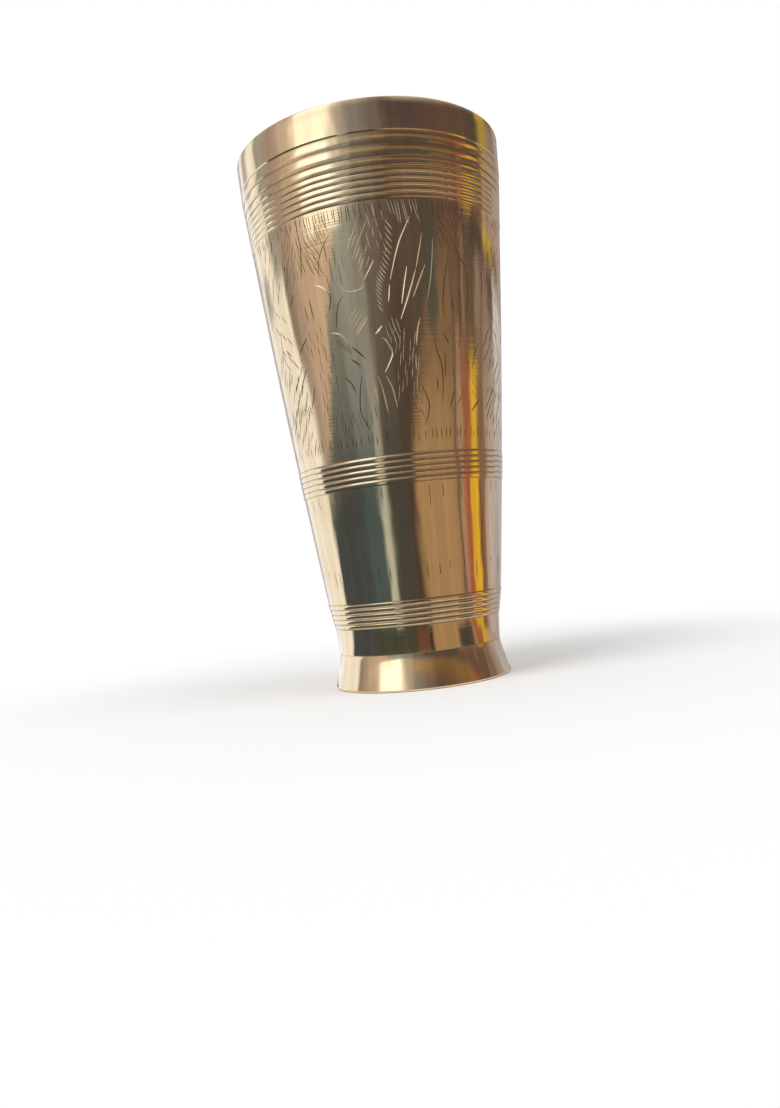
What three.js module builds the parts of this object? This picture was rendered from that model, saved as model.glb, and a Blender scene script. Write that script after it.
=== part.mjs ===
// A tall tapered bronze tumbler with turned ribs, standing on a flared foot ring.
// The wall, the foot and the floor are separate turned pieces, joined by three runs of brazing filler.
// Millimetres, +Z up. The origin is the middle of the ring that the foot stands on.
import * as THREE from "three";

// Overall form, with radii on the outside
const HEIGHT = 200; // standing plane to lip
const MOUTH_RADIUS = 49.9; // at the lip
const COLLAR_RADIUS = 49.5; // at the turned line under the plain mouth band
const SHOULDER_RADIUS = 47.45; // under the upper ribs, where the engraved field begins
const BELLY = 0.6; // swell past a straight taper, half way between shoulder and hip
const HIP_RADIUS = 33.15; // on top of the lower ribs
const NECK_RADIUS = 31.35; // under the lower ribs
const SEAM_RADIUS = 30.6; // where the wall stands on the foot
const FOOT_RADIUS = 33.5; // at the standing edge

// Wall
const WALL = 1.5; // thickness, measured level
const LIP_ROUND = 0.5; // rounding of both lip edges
const MOUTH_BAND = 11.15; // plain band from the lip down to the turned line
const LINE_WIDTH = 0.6;
const LINE_DEPTH = 0.25;
const ROLL_COUNT = 2; // broad soft rolls under the line
const ROLL_PITCH = 4;
const ROLL_RISE = 0.25;
const BEAD_PITCH = 3; // one bead between the rolls and the upper ribs
const BEAD_RISE = 0.22;
const RIB_RISE = 0.24; // fine ribs stand this far proud of the taper
const UPPER_RIB_COUNT = 5;
const UPPER_RIB_PITCH = 2.15;
const MIDDLE_RIB_COUNT = 5;
const MIDDLE_RIB_PITCH = 1.97;
const MIDDLE_BAND_Z = 72.35; // lowest edge of the middle ribs
const LOWER_RIB_COUNT = 5;
const LOWER_RIB_PITCH = 1.85;
const NECK_HEIGHT = 9.55; // plain neck between the foot seam and the lower ribs

// Foot ring
const FOOT_HEIGHT = 12.8; // standing plane to the shoulder that carries the wall
const FOOT_WALL = 1.7; // thickness at the standing edge and in the spigot
const FOOT_EDGE_ROUND = 0.8; // rounding of the standing edge, outside
const FLARE_POWER = 1.2; // 1 is a straight cone, more is a trumpet
const SPIGOT_HEIGHT = 5.2; // collar that reaches up inside the wall and carries the floor

// Floor and filler
const FLOOR_THICKNESS = 1.6;
const FLOOR_DISH = 0.8; // how far the middle of the floor lies below its rim
const FLOOR_FLAT = 1.8; // flat rim of the floor between the dish and the filler
const FIT_GAP = 0.1; // clearance of every brazed fit
const SEAM_GAP = 0.25; // filler between wall and foot shoulder
const SEAM_RECESS = 0.2; // the filler stops this far inside the outer surface
const FLOOR_FILLET = 1.6; // leg of the filler round the floor, inside the cup
const FOOT_FILLET = 1.3; // leg of the filler under the floor

// Facets
const TURN_STEPS = 48; // in a full turn
const RIB_STEPS = 3;
const ROLL_STEPS = 4;
const BELLY_STEPS = 8;
const ROUND_STEPS = 2;
const FLARE_STEPS = 5;
const DISH_STEPS = 3;
const FILLET_STEPS = 3;

// Heights that follow from the sizes above
const WALL_FOOT_Z = FOOT_HEIGHT + SEAM_GAP;
const LOWER_BAND_Z = WALL_FOOT_Z + NECK_HEIGHT;
const LOWER_BAND_TOP_Z = LOWER_BAND_Z + LOWER_RIB_COUNT * LOWER_RIB_PITCH;
const LINE_Z = HEIGHT - MOUTH_BAND;
const ROLLS_Z = LINE_Z - LINE_WIDTH / 2 - ROLL_COUNT * ROLL_PITCH;
const BEAD_Z = ROLLS_Z - BEAD_PITCH;
const UPPER_BAND_Z = BEAD_Z - UPPER_RIB_COUNT * UPPER_RIB_PITCH;
const MIDDLE_BAND_TOP_Z = MIDDLE_BAND_Z + MIDDLE_RIB_COUNT * MIDDLE_RIB_PITCH;
const FLOOR_Z = FOOT_HEIGHT + SPIGOT_HEIGHT;
const FLOOR_TOP_Z = FLOOR_Z + FLOOR_THICKNESS;

// The wall's outer line before ribs are raised on it, as [height, radius] from the seam to the lip.
const TAPER = [
  [WALL_FOOT_Z, SEAM_RADIUS],
  [LOWER_BAND_Z, NECK_RADIUS],
  [LOWER_BAND_TOP_Z, HIP_RADIUS],
  [UPPER_BAND_Z, SHOULDER_RADIUS],
  [LINE_Z, COLLAR_RADIUS],
  [HEIGHT, MOUTH_RADIUS],
];

// Outer radius of the plain taper at a height, with its swell between hip and shoulder.
function taperRadius(z) {
  const last = TAPER.length - 1;
  const above = TAPER.findIndex(([stationZ], i) => i === last || (i > 0 && z <= stationZ));
  const [lowZ, lowRadius] = TAPER[above - 1];
  const [highZ, highRadius] = TAPER[above];
  const up = (z - lowZ) / (highZ - lowZ);
  const swell = highZ === UPPER_BAND_Z ? 4 * BELLY * up * (1 - up) : 0;
  return THREE.MathUtils.lerp(lowRadius, highRadius, up) + swell;
}

// Heights of the steps that follow the swell between two heights, both ends left out.
function bellySteps(lowZ, highZ) {
  const pitch = (UPPER_BAND_Z - LOWER_BAND_TOP_Z) / BELLY_STEPS;
  const count = Math.max(1, Math.round((highZ - lowZ) / pitch));
  return Array.from({ length: count - 1 }, (_, i) =>
    THREE.MathUtils.lerp(lowZ, highZ, (i + 1) / count),
  );
}

// Bore radius of the wall at a height.
const boreRadius = (z) => taperRadius(z) - WALL;

// Radius of a straight-sided piece that fits the bore between two heights.
function fitRadius(lowZ, highZ) {
  const stations = TAPER.map(([z]) => z).filter((z) => z > lowZ && z < highZ);
  return Math.min(...[lowZ, ...stations, highZ].map(boreRadius)) - FIT_GAP;
}

const spigotRadius = fitRadius(WALL_FOOT_Z, FLOOR_Z);
const spigotBore = spigotRadius - FOOT_WALL;
const floorRadius = fitRadius(FLOOR_Z, FLOOR_TOP_Z);
const floorFillerRadius = fitRadius(FLOOR_TOP_Z, FLOOR_TOP_Z + FLOOR_FILLET);
const footFillerRadius = spigotBore - FIT_GAP;

const point = (radius, z) => new THREE.Vector2(radius, z);

// Points of a round about [radius, z], between two angles in degrees from +radius towards +Z.
function round(radius, z, size, fromDegrees, toDegrees, steps) {
  return Array.from({ length: steps + 1 }, (_, i) => {
    const degrees = THREE.MathUtils.lerp(fromDegrees, toDegrees, i / steps);
    const angle = THREE.MathUtils.degToRad(degrees);
    return point(radius + size * Math.cos(angle), z + size * Math.sin(angle));
  });
}

// Half-round ribs stacked upwards on the taper, from their lowest edge.
function ribs(lowestZ, count, pitch, rise, steps) {
  return Array.from({ length: count * steps + 1 }, (_, i) => {
    const z = lowestZ + (pitch * i) / steps;
    return point(taperRadius(z) + rise * Math.sin((Math.PI * (i % steps)) / steps), z);
  });
}

// The wall: up its ribbed outside, over the lip and down its smooth bore.
function wallOutline() {
  const lipRound = Math.min(LIP_ROUND, WALL / 3);
  const lipZ = HEIGHT - lipRound;
  const lineTopZ = LINE_Z + LINE_WIDTH / 2;
  const boreSteps = [
    LOWER_BAND_Z,
    LOWER_BAND_TOP_Z,
    ...bellySteps(LOWER_BAND_TOP_Z, UPPER_BAND_Z),
    UPPER_BAND_Z,
    LINE_Z,
  ];
  return [
    point(boreRadius(WALL_FOOT_Z), WALL_FOOT_Z),
    point(SEAM_RADIUS, WALL_FOOT_Z),
    ...ribs(LOWER_BAND_Z, LOWER_RIB_COUNT, LOWER_RIB_PITCH, RIB_RISE, RIB_STEPS),
    ...bellySteps(LOWER_BAND_TOP_Z, MIDDLE_BAND_Z).map((z) => point(taperRadius(z), z)),
    ...ribs(MIDDLE_BAND_Z, MIDDLE_RIB_COUNT, MIDDLE_RIB_PITCH, RIB_RISE, RIB_STEPS),
    ...bellySteps(MIDDLE_BAND_TOP_Z, UPPER_BAND_Z).map((z) => point(taperRadius(z), z)),
    ...ribs(UPPER_BAND_Z, UPPER_RIB_COUNT, UPPER_RIB_PITCH, RIB_RISE, RIB_STEPS).slice(0, -1),
    ...ribs(BEAD_Z, 1, BEAD_PITCH, BEAD_RISE, ROLL_STEPS).slice(0, -1),
    ...ribs(ROLLS_Z, ROLL_COUNT, ROLL_PITCH, ROLL_RISE, ROLL_STEPS),
    point(taperRadius(LINE_Z) - LINE_DEPTH, LINE_Z),
    point(taperRadius(lineTopZ), lineTopZ),
    ...round(MOUTH_RADIUS - lipRound, lipZ, lipRound, 0, 90, ROUND_STEPS),
    ...round(boreRadius(HEIGHT) + lipRound, lipZ, lipRound, 90, 180, ROUND_STEPS),
    ...boreSteps.reverse().map((z) => point(boreRadius(z), z)),
  ];
}

// A flared curve from a narrow radius down to a wide one, from its lower end upwards.
function flare(narrow, wide, lowZ, highZ) {
  return Array.from({ length: FLARE_STEPS + 1 }, (_, i) => {
    const up = i / FLARE_STEPS;
    const radius = THREE.MathUtils.lerp(narrow, wide, (1 - up) ** FLARE_POWER);
    return point(radius, THREE.MathUtils.lerp(lowZ, highZ, up));
  });
}

// The foot: a flared skirt, a shoulder for the wall and a spigot that carries the floor.
function footOutline() {
  const edgeRound = Math.min(FOOT_EDGE_ROUND, FOOT_WALL / 2);
  return [
    ...round(FOOT_RADIUS - edgeRound, edgeRound, edgeRound, -90, 0, ROUND_STEPS),
    ...flare(SEAM_RADIUS, FOOT_RADIUS, edgeRound, FOOT_HEIGHT).slice(1),
    point(spigotRadius, FOOT_HEIGHT),
    point(spigotRadius, FLOOR_Z),
    point(spigotBore, FLOOR_Z),
    ...flare(spigotBore, FOOT_RADIUS - FOOT_WALL, 0, FOOT_HEIGHT).reverse(),
  ];
}

// The floor: a disc with a shallow dish inside a flat rim.
function floorOutline() {
  const fillerToe = Math.min(floorFillerRadius - FLOOR_FILLET, footFillerRadius - FOOT_FILLET);
  const dishRadius = fillerToe - FLOOR_FLAT;
  const dish = (z) =>
    Array.from({ length: DISH_STEPS + 1 }, (_, i) => {
      const angle = ((Math.PI / 2) * i) / DISH_STEPS;
      return point(dishRadius * Math.sin(angle), z - FLOOR_DISH * Math.cos(angle) ** 2);
    });
  return [
    ...dish(FLOOR_Z),
    point(floorRadius, FLOOR_Z),
    point(floorRadius, FLOOR_TOP_Z),
    ...dish(FLOOR_TOP_Z).reverse(),
  ];
}

// The filler between the wall's lower end and the foot's shoulder, a flat washer.
function seamFillerOutline() {
  const bore = boreRadius(WALL_FOOT_Z);
  const rim = SEAM_RADIUS - SEAM_RECESS;
  return [
    point(bore, FOOT_HEIGHT),
    point(rim, FOOT_HEIGHT),
    point(rim, WALL_FOOT_Z),
    point(bore, WALL_FOOT_Z),
  ];
}

// The filler in the corner of floor and wall, inside the cup.
function floorFillerOutline() {
  const toe = floorFillerRadius - FLOOR_FILLET;
  return [
    point(floorFillerRadius, FLOOR_TOP_Z),
    ...round(toe, FLOOR_TOP_Z + FLOOR_FILLET, FLOOR_FILLET, 0, -90, FILLET_STEPS),
  ];
}

// The filler in the corner of floor and spigot, under the cup.
function footFillerOutline() {
  const toe = footFillerRadius - FOOT_FILLET;
  return [
    ...round(toe, FLOOR_Z - FOOT_FILLET, FOOT_FILLET, 90, 0, FILLET_STEPS),
    point(footFillerRadius, FLOOR_Z),
  ];
}

// One turned piece: an outline that runs up its outside, revolved about +Z.
function turned(name, outline, material) {
  const onAxis = outline[0].x === 0;
  const closed = onAxis ? outline : [...outline, outline[0]];
  const geometry = new THREE.LatheGeometry(closed, TURN_STEPS);
  geometry.rotateX(Math.PI / 2);
  const mesh = new THREE.Mesh(geometry, material);
  mesh.name = name;
  return mesh;
}

const metal = (color, roughness) =>
  new THREE.MeshStandardMaterial({ color, roughness, metalness: 1 });
const polishedBronze = metal(0xb8935c, 0.18);
const turnedBronze = metal(0xa98452, 0.35);
const brazingFiller = metal(0xc2a566, 0.45);

const tumbler = new THREE.Group();
tumbler.name = "tumbler";
tumbler.add(
  turned("body_wall", wallOutline(), polishedBronze),
  turned("foot_ring", footOutline(), polishedBronze),
  turned("floor_disc", floorOutline(), turnedBronze),
  turned("seam_filler", seamFillerOutline(), brazingFiller),
  turned("floor_filler", floorFillerOutline(), brazingFiller),
  turned("foot_filler", footFillerOutline(), brazingFiller),
);

export default tumbler;
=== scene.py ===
"""Looks of a tall engraved bronze tumbler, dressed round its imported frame.

Metres, +Z up, with the origin in the middle of the ring that the foot stands on.
The front faces -Y. Angles round the tumbler are degrees from the front, positive to the right.
"""

import logging
import math
import random
from abc import ABC, abstractmethod
from collections.abc import Iterator, Mapping, Sequence
from dataclasses import dataclass, field
from enum import Enum
from typing import Any

import bpy
from mathutils import Matrix, Vector


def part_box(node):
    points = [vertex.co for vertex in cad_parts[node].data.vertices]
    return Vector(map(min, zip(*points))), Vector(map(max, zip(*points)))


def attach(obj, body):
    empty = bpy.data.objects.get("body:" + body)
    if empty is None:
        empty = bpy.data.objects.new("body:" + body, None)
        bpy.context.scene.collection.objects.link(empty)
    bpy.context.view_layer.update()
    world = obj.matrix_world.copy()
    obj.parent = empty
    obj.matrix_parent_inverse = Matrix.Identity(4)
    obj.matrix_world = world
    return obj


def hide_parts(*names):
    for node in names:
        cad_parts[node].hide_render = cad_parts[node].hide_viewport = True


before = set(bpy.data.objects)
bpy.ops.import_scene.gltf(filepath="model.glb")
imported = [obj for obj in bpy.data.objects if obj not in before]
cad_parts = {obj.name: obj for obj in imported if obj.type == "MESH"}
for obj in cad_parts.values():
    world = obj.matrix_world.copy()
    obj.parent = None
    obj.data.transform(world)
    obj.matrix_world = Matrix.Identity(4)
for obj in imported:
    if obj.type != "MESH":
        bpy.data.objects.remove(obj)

LOG = logging.getLogger("tumbler")
MM = 0.001
BODY = "root"
# Facets in a full turn of the lathe.
TURN_STEPS = 180
# Sizes that two pieces share, in millimetres.
SEAM_RADIUS = 30.6
WALL_THICKNESS = 1.5
# A share times the rest of it, times this, is 1 in the middle.
PEAK = 4.0
# A stored flag counts as set above this.
FLAG = 0.5
WHITE = (1.0, 1.0, 1.0, 1.0)

Colour = tuple[float, float, float]
FlatPoint = tuple[float, float]
Socket = bpy.types.NodeSocket
Number = float | Socket
Inputs = Mapping[str | int, Any]


class Slot(Enum):
    """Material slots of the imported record."""

    POLISHED = "polished_bronze"
    TURNED = "turned_bronze"
    FILLER = "brazing_filler"


class MixKind(Enum):
    """Kinds of Mix node: Blender's name, then the places of its two inputs and of its result."""

    COLOUR = ("RGBA", 6, 7, 2)
    VECTOR = ("VECTOR", 4, 5, 1)


class Ramp(Enum):
    """Ways in which one end of a range passes into the other."""

    STRAIGHT = "LINEAR"
    SOFT = "SMOOTHSTEP"


class Graph:
    """A node tree that is written down node by node."""

    def __init__(self, tree: bpy.types.NodeTree) -> None:
        """Keep the tree that the nodes go into."""
        self.tree = tree

    def feed(self, node: bpy.types.Node, inputs: Inputs) -> None:
        """Give a node its inputs.

        Args:
            node: The node.
            inputs: Values or sockets for its inputs, by name or by place.
        """
        for key, value in inputs.items():
            if isinstance(value, Socket):
                self.tree.links.new(value, node.inputs[key])
            else:
                node.inputs[key].default_value = value

    def add(self, kind: str, inputs: Inputs | None = None, **settings: Any) -> bpy.types.Node:
        """Add one node.

        Args:
            kind: Blender's type name of the node.
            inputs: Values or sockets for its inputs, by name or by place.
            **settings: Properties of the node itself.

        Returns:
            The new node.
        """
        node = self.tree.nodes.new(kind)
        for name, value in settings.items():
            setattr(node, name, value)
        self.feed(node, inputs or {})
        return node

    def result(self, kind: str, inputs: Inputs | None = None, **settings: Any) -> Socket:
        """Add one node and return its first output."""
        return self.add(kind, inputs, **settings).outputs[0]

    def maths(self, operation: str, *values: Number) -> Socket:
        """Return the result of one Math node."""
        return self.result("ShaderNodeMath", dict(enumerate(values)), operation=operation)

    def negative(self, value: Number) -> Socket:
        """Return a number with its sign turned round."""
        return self.maths("MULTIPLY", value, -1.0)

    def within(self, value: Socket, low: Number, high: Number) -> Socket:
        """Return 1 where a number lies between two limits, and 0 elsewhere."""
        above = self.maths("GREATER_THAN", value, low)
        return self.maths("MULTIPLY", above, self.maths("LESS_THAN", value, high))

    def ramp(
        self,
        value: Socket,
        limits: tuple[float, float],
        results: tuple[float, float] = (0.0, 1.0),
        shape: Ramp = Ramp.SOFT,
    ) -> Socket:
        """Map one range of numbers to another.

        Args:
            value: The number.
            limits: Its range, beyond which the result stays the same.
            results: What the ends of that range become.
            shape: How one end passes into the other.

        Returns:
            The mapped number.
        """
        inputs = {
            "Value": value, "From Min": limits[0], "From Max": limits[1],
            "To Min": results[0], "To Max": results[1],
        }
        return self.result("ShaderNodeMapRange", inputs, interpolation_type=shape.value)

    def mix(self, kind: MixKind, share: Socket, first: Any, second: Any) -> Socket:
        """Mix two colours or two vectors.

        Args:
            kind: The kind of Mix node.
            share: Share of the second one, 0 to 1.
            first: Value or socket of the first one.
            second: Value or socket of the second one.

        Returns:
            The mixed colour or vector.
        """
        name, one, two, mixed = kind.value
        inputs = {"Factor": share, one: first, two: second}
        return self.add("ShaderNodeMix", inputs, data_type=name).outputs[mixed]

    def vectors(self, operation: str, *values: Sequence[float] | Socket) -> Socket:
        """Return the vector that one Vector Math node makes."""
        return self.result("ShaderNodeVectorMath", dict(enumerate(values)), operation=operation)

    def length(self, vector: Socket) -> Socket:
        """Return the length of a vector."""
        return self.add("ShaderNodeVectorMath", {0: vector}, operation="LENGTH").outputs["Value"]

    def split(self, vector: Socket) -> tuple[Socket, Socket, Socket]:
        """Return the X, Y and Z of a vector."""
        parts = self.add("ShaderNodeSeparateXYZ", {0: vector}).outputs
        return parts[0], parts[1], parts[2]

    def join(self, x: Number, y: Number, z: Number) -> Socket:
        """Return the vector of three numbers."""
        return self.result("ShaderNodeCombineXYZ", {0: x, 1: y, 2: z})

    def around(self, radius: Number, angle: Socket, height: Number) -> Socket:
        """Find a place round the axis.

        Args:
            radius: Its distance from the axis.
            angle: Its angle from the front, positive to the right, in radians.
            height: Its height.

        Returns:
            The place as a vector.
        """
        across = self.maths("MULTIPLY", radius, self.maths("SINE", angle))
        back = self.negative(self.maths("COSINE", angle))
        return self.join(across, self.maths("MULTIPLY", radius, back), height)


class InputKind(Enum):
    """Kinds of named input that a Geometry Nodes tree takes."""

    NUMBER = "NodeSocketFloat"
    COUNT = "NodeSocketInt"
    MATERIAL = "NodeSocketMaterial"
    OBJECT = "NodeSocketObject"
    GEOMETRY = "NodeSocketGeometry"


class GeometryTree(Graph):
    """A Geometry Nodes tree with named inputs."""

    def __init__(
        self, name: str, inputs: Mapping[str, InputKind], outputs: Mapping[str, InputKind]
    ) -> None:
        """Make an empty tree.

        Args:
            name: Name of the tree.
            inputs: Its named inputs, in order.
            outputs: Its named outputs, in order.
        """
        super().__init__(bpy.data.node_groups.new(name, "GeometryNodeTree"))
        for label, kind in inputs.items():
            self.tree.interface.new_socket(label, in_out="INPUT", socket_type=kind.value)
        for label, kind in outputs.items():
            self.tree.interface.new_socket(label, in_out="OUTPUT", socket_type=kind.value)
        self.given = self.add("NodeGroupInput").outputs

    def use(self, other: "GeometryTree", inputs: Mapping[str, Any]) -> bpy.types.NodeOutputs:
        """Put another tree into this one as a node and return its outputs."""
        return self.add("GeometryNodeGroup", inputs, node_tree=other.tree).outputs

    def position(self) -> Socket:
        """Return the place of each point."""
        return self.result("GeometryNodeInputPosition")

    def attribute(self, name: str, kind: str = "FLOAT") -> Socket:
        """Return what is stored under a name."""
        return self.result("GeometryNodeInputNamedAttribute", {"Name": name}, data_type=kind)

    def store(
        self, mesh: Socket, name: str, value: Any, domain: str = "POINT", kind: str = "FLOAT"
    ) -> Socket:
        """Store a value under a name.

        Args:
            mesh: The mesh or the curves.
            name: The name.
            value: The value, as a socket or a number.
            domain: Blender's name of what carries it.
            kind: Blender's name of its data type.

        Returns:
            The mesh or the curves with the value.
        """
        inputs = {"Geometry": mesh, "Name": name, "Value": value}
        return self.result("GeometryNodeStoreNamedAttribute", inputs, data_type=kind, domain=domain)

    def sample(self, source: Socket, value: Socket, index: Socket, kind: str = "FLOAT") -> Socket:
        """Return a value at one numbered point of a mesh."""
        inputs = {"Geometry": source, "Value": value, "Index": index}
        return self.result("GeometryNodeSampleIndex", inputs, data_type=kind)

    def paint(self, mesh: Socket, finish: Socket, where: bool | Socket = True) -> Socket:
        """Return a mesh with a finish on its chosen faces."""
        inputs = {"Geometry": mesh, "Selection": where, "Material": finish}
        return self.result("GeometryNodeSetMaterial", inputs)

    def finish(self, **results: Socket) -> None:
        """Join the tree's results to its outputs, by name."""
        self.add("NodeGroupOutput", results)

    def run(self, name: str, source: bpy.types.Mesh, values: Mapping[str, Any]) -> bpy.types.Mesh:
        """Run the tree on a mesh.

        Args:
            name: Name of the new mesh.
            source: The mesh that goes in.
            values: The tree's named inputs.

        Returns:
            The plain mesh that comes out.
        """
        carrier = put(f"{name}_carrier", source)
        modifier = carrier.modifiers.new(self.tree.name, "NODES")
        modifier.node_group = self.tree
        for label, value in values.items():
            modifier[self.tree.interface.items_tree[label].identifier] = value
        depsgraph = bpy.context.evaluated_depsgraph_get()
        mesh = bpy.data.meshes.new_from_object(
            carrier.evaluated_get(depsgraph), preserve_all_data_layers=True, depsgraph=depsgraph
        )
        mesh.name = name
        carrier.modifiers.remove(modifier)
        bpy.data.objects.remove(carrier)
        return mesh


def put(name: str, data: bpy.types.ID) -> bpy.types.Object:
    """Put a new object in the scene.

    Args:
        name: Name of the object.
        data: Its mesh, lamp or camera.

    Returns:
        The new object.
    """
    thing = bpy.data.objects.new(name, data)
    bpy.context.scene.collection.objects.link(thing)
    return thing


def polyline_mesh(name: str, lines: Sequence[Sequence[Vector]]) -> bpy.types.Mesh:
    """Make a mesh of open lines.

    Args:
        name: Name of the mesh.
        lines: The points of each line.

    Returns:
        A mesh of points and edges.
    """
    points: list[Vector] = []
    edges: list[tuple[int, int]] = []
    for line in lines:
        first = len(points)
        points.extend(line)
        edges.extend((i, i + 1) for i in range(first, len(points) - 1))
    mesh = bpy.data.meshes.new(name)
    mesh.from_pydata(points, edges, [])
    return mesh


def set_numbers(mesh: bpy.types.Mesh, name: str, values: Sequence[float]) -> None:
    """Store one number on each point of a mesh, under a name."""
    mesh.attributes.new(name, "FLOAT", "POINT").data.foreach_set("value", values)


BRONZE: Colour = (0.83, 0.66, 0.41)
# Colour of tarnished metal, which is also painted into recesses as shade.
TARNISH_AND_RECESS_SHADE: Colour = (0.40, 0.27, 0.14)


@dataclass(frozen=True)
class BronzeFinish:
    """Bare bronze with the lines of the lathe, a little tarnished metal, and painted shade in any recess
    it has.

    Attributes:
        name: Name of the material.
        colour: Colour of the clean metal.
        tarnish_share: How much of the surface is dulled, 0 to 1.
        roughness: Roughness of the clean metal.
        anisotropy: How far the lathe's lines stretch the gloss.
        line_pitch: Distance between the lathe's lines, in metres.
        line_depth: Depth of the lathe's lines, in metres.
        wave_depth: Depth of the broad unevenness left by polishing, in metres.
        tarnish: Colour of tarnished metal, which is also painted into a recess as shade.
        matte: Share of the metal that scatters light because it is left as cut, 0 to 1.
        patina_and_shade: Share that a recess adds to that, as painted shade with tarnished metal.
        recess: Name of the attribute that says how deep in a recess a place lies, 0 to 1, which is
            painted darker there as shade with tarnished metal.
    """

    name: str
    colour: Colour
    tarnish_share: float
    roughness: float
    anisotropy: float
    line_pitch: float
    line_depth: float
    wave_depth: float
    tarnish: Colour = TARNISH_AND_RECESS_SHADE
    matte: float = 0.0
    patina_and_shade: float = 0.0
    recess: str = "recess"

    # Lengths over which the noises change, in metres, and their octaves.
    LINE_REACH = 0.09
    LINE_DETAIL = 3.0
    WAVE_PITCH = Vector((0.006, 0.006, 0.022))
    WAVE_DETAIL = 1.0
    CLOUD_PITCH = Vector((0.035, 0.035, 0.035))
    CLOUD_DETAIL = 5.0
    # Values of the noises between which the tarnish and the roughness change.
    CLOUD_LIMITS = (0.45, 0.75)
    LINE_LIMITS = (0.3, 0.7)
    # Share by which the lines change the roughness, and what full tarnish adds to it.
    ROUGHNESS_SPREAD = 0.25
    TARNISH_ROUGHNESS = 0.25
    OXIDE_GLOSS = 0.15

    def noise(self, graph: Graph, where: Socket, pitch: Vector, detail: float) -> Socket:
        """Make a stretched noise.

        Args:
            graph: The material's nodes.
            where: The place on the piece.
            pitch: Length of its features along each axis, in metres.
            detail: Its octaves.

        Returns:
            The noise, 0 to 1.
        """
        stretched = graph.vectors("MULTIPLY", where, [1 / length for length in pitch])
        inputs = {"Vector": stretched, "Scale": 1.0, "Detail": detail}
        return graph.add("ShaderNodeTexNoise", inputs).outputs["Fac"]

    def relief(self, graph: Graph, height: Socket, depth: float, below: Socket | None) -> Socket:
        """Lay a relief on the surface.

        Args:
            graph: The material's nodes.
            height: Height of the relief, 0 to 1.
            depth: Its depth, in metres.
            below: Normal of the relief that it lies on, if there is one.

        Returns:
            The normal of the surface with the relief.
        """
        inputs: dict[str | int, Any] = {"Height": height, "Distance": depth, "Strength": 1.0}
        if below is not None:
            inputs["Normal"] = below
        return graph.result("ShaderNodeBump", inputs)

    def material(self) -> bpy.types.Material:
        """Build the material.

        Returns:
            A procedural metal on Object coordinates.
        """
        material = bpy.data.materials.new(self.name)
        material.use_nodes = True
        graph = Graph(material.node_tree)
        where = graph.add("ShaderNodeTexCoord").outputs["Object"]
        line_pitch = Vector((self.LINE_REACH, self.LINE_REACH, self.line_pitch))
        lines = self.noise(graph, where, line_pitch, self.LINE_DETAIL)
        waves = self.noise(graph, where, self.WAVE_PITCH, self.WAVE_DETAIL)
        clouds = self.noise(graph, where, self.CLOUD_PITCH, self.CLOUD_DETAIL)
        recess = graph.add("ShaderNodeAttribute", attribute_name=self.recess).outputs["Fac"]

        dulled_and_shaded = graph.ramp(clouds, self.CLOUD_LIMITS, (0.0, self.tarnish_share))
        # Recesses take that colour too: painted shade with tarnished metal.
        dulled_and_shaded = graph.maths("MAXIMUM", dulled_and_shaded, recess)
        spread = self.roughness * self.ROUGHNESS_SPREAD
        ends = (self.roughness - spread, self.roughness + spread)
        roughness = graph.ramp(lines, self.LINE_LIMITS, ends, Ramp.STRAIGHT)
        normal = self.relief(graph, waves, self.wave_depth, None)

        shader = material.node_tree.nodes["Principled BSDF"]
        graph.feed(shader, {
            "Base Color": graph.mix(MixKind.COLOUR, dulled_and_shaded, (*self.colour, 1), (*self.tarnish, 1)),
            "Metallic": 1 - self.matte,
            "Roughness": graph.maths("MULTIPLY_ADD", dulled_and_shaded, self.TARNISH_ROUGHNESS, roughness),
            "Specular IOR Level": self.OXIDE_GLOSS,
            "Anisotropic": self.anisotropy,
            "Normal": self.relief(graph, lines, self.line_depth, normal),
            "Tangent": graph.result("ShaderNodeTangent", direction_type="RADIAL", axis="Z"),
        })
        if self.patina_and_shade:
            # A recess also loses metallic gloss: painted shade with tarnished metal.
            metallic = graph.maths("MULTIPLY_ADD", recess, -self.patina_and_shade, 1 - self.matte)
            graph.feed(shader, {"Metallic": metallic})
        return material


POLISHED = BronzeFinish(
    "polished_bronze", BRONZE, tarnish_share=0.22, roughness=0.08, anisotropy=0.45,
    line_pitch=0.55 * MM, line_depth=0.009 * MM, wave_depth=0.16 * MM,
)
SOFT_POLISHED = BronzeFinish(
    "soft_polished_bronze", BRONZE, tarnish_share=0.3, roughness=0.1, anisotropy=0.1,
    line_pitch=0.55 * MM, line_depth=0.003 * MM, wave_depth=0.08 * MM,
)
# The dark cuts take its near-black colour: painted shade in the groove with tarnished metal.
FRESH_CUT = BronzeFinish(
    "graver_cut_bronze", (0.84, 0.69, 0.46), tarnish_share=0.15, roughness=0.18, anisotropy=0.0,
    line_pitch=0.4 * MM, line_depth=0.002 * MM, wave_depth=0.0,
    tarnish=(0.13, 0.08, 0.04), matte=0.35, patina_and_shade=0.1, recess="cut_recess",
)
SATIN_BORE = BronzeFinish(
    "satin_bore_bronze", (0.87, 0.72, 0.48), tarnish_share=0.15, roughness=0.34, anisotropy=0.3,
    line_pitch=0.8 * MM, line_depth=0.0015 * MM, wave_depth=0.03 * MM, matte=0.22,
)
FACED_FLOOR = BronzeFinish(
    "faced_floor_bronze", (0.84, 0.69, 0.45), tarnish_share=0.3, roughness=0.34, anisotropy=0.3,
    line_pitch=0.8 * MM, line_depth=0.005 * MM, wave_depth=0.08 * MM, matte=0.22,
)
COOLED_FILLER = BronzeFinish(
    "cooled_filler", (0.80, 0.67, 0.42), tarnish_share=0.7, roughness=0.42, anisotropy=0.0,
    line_pitch=0.9 * MM, line_depth=0.03 * MM, wave_depth=0.1 * MM,
)


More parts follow.
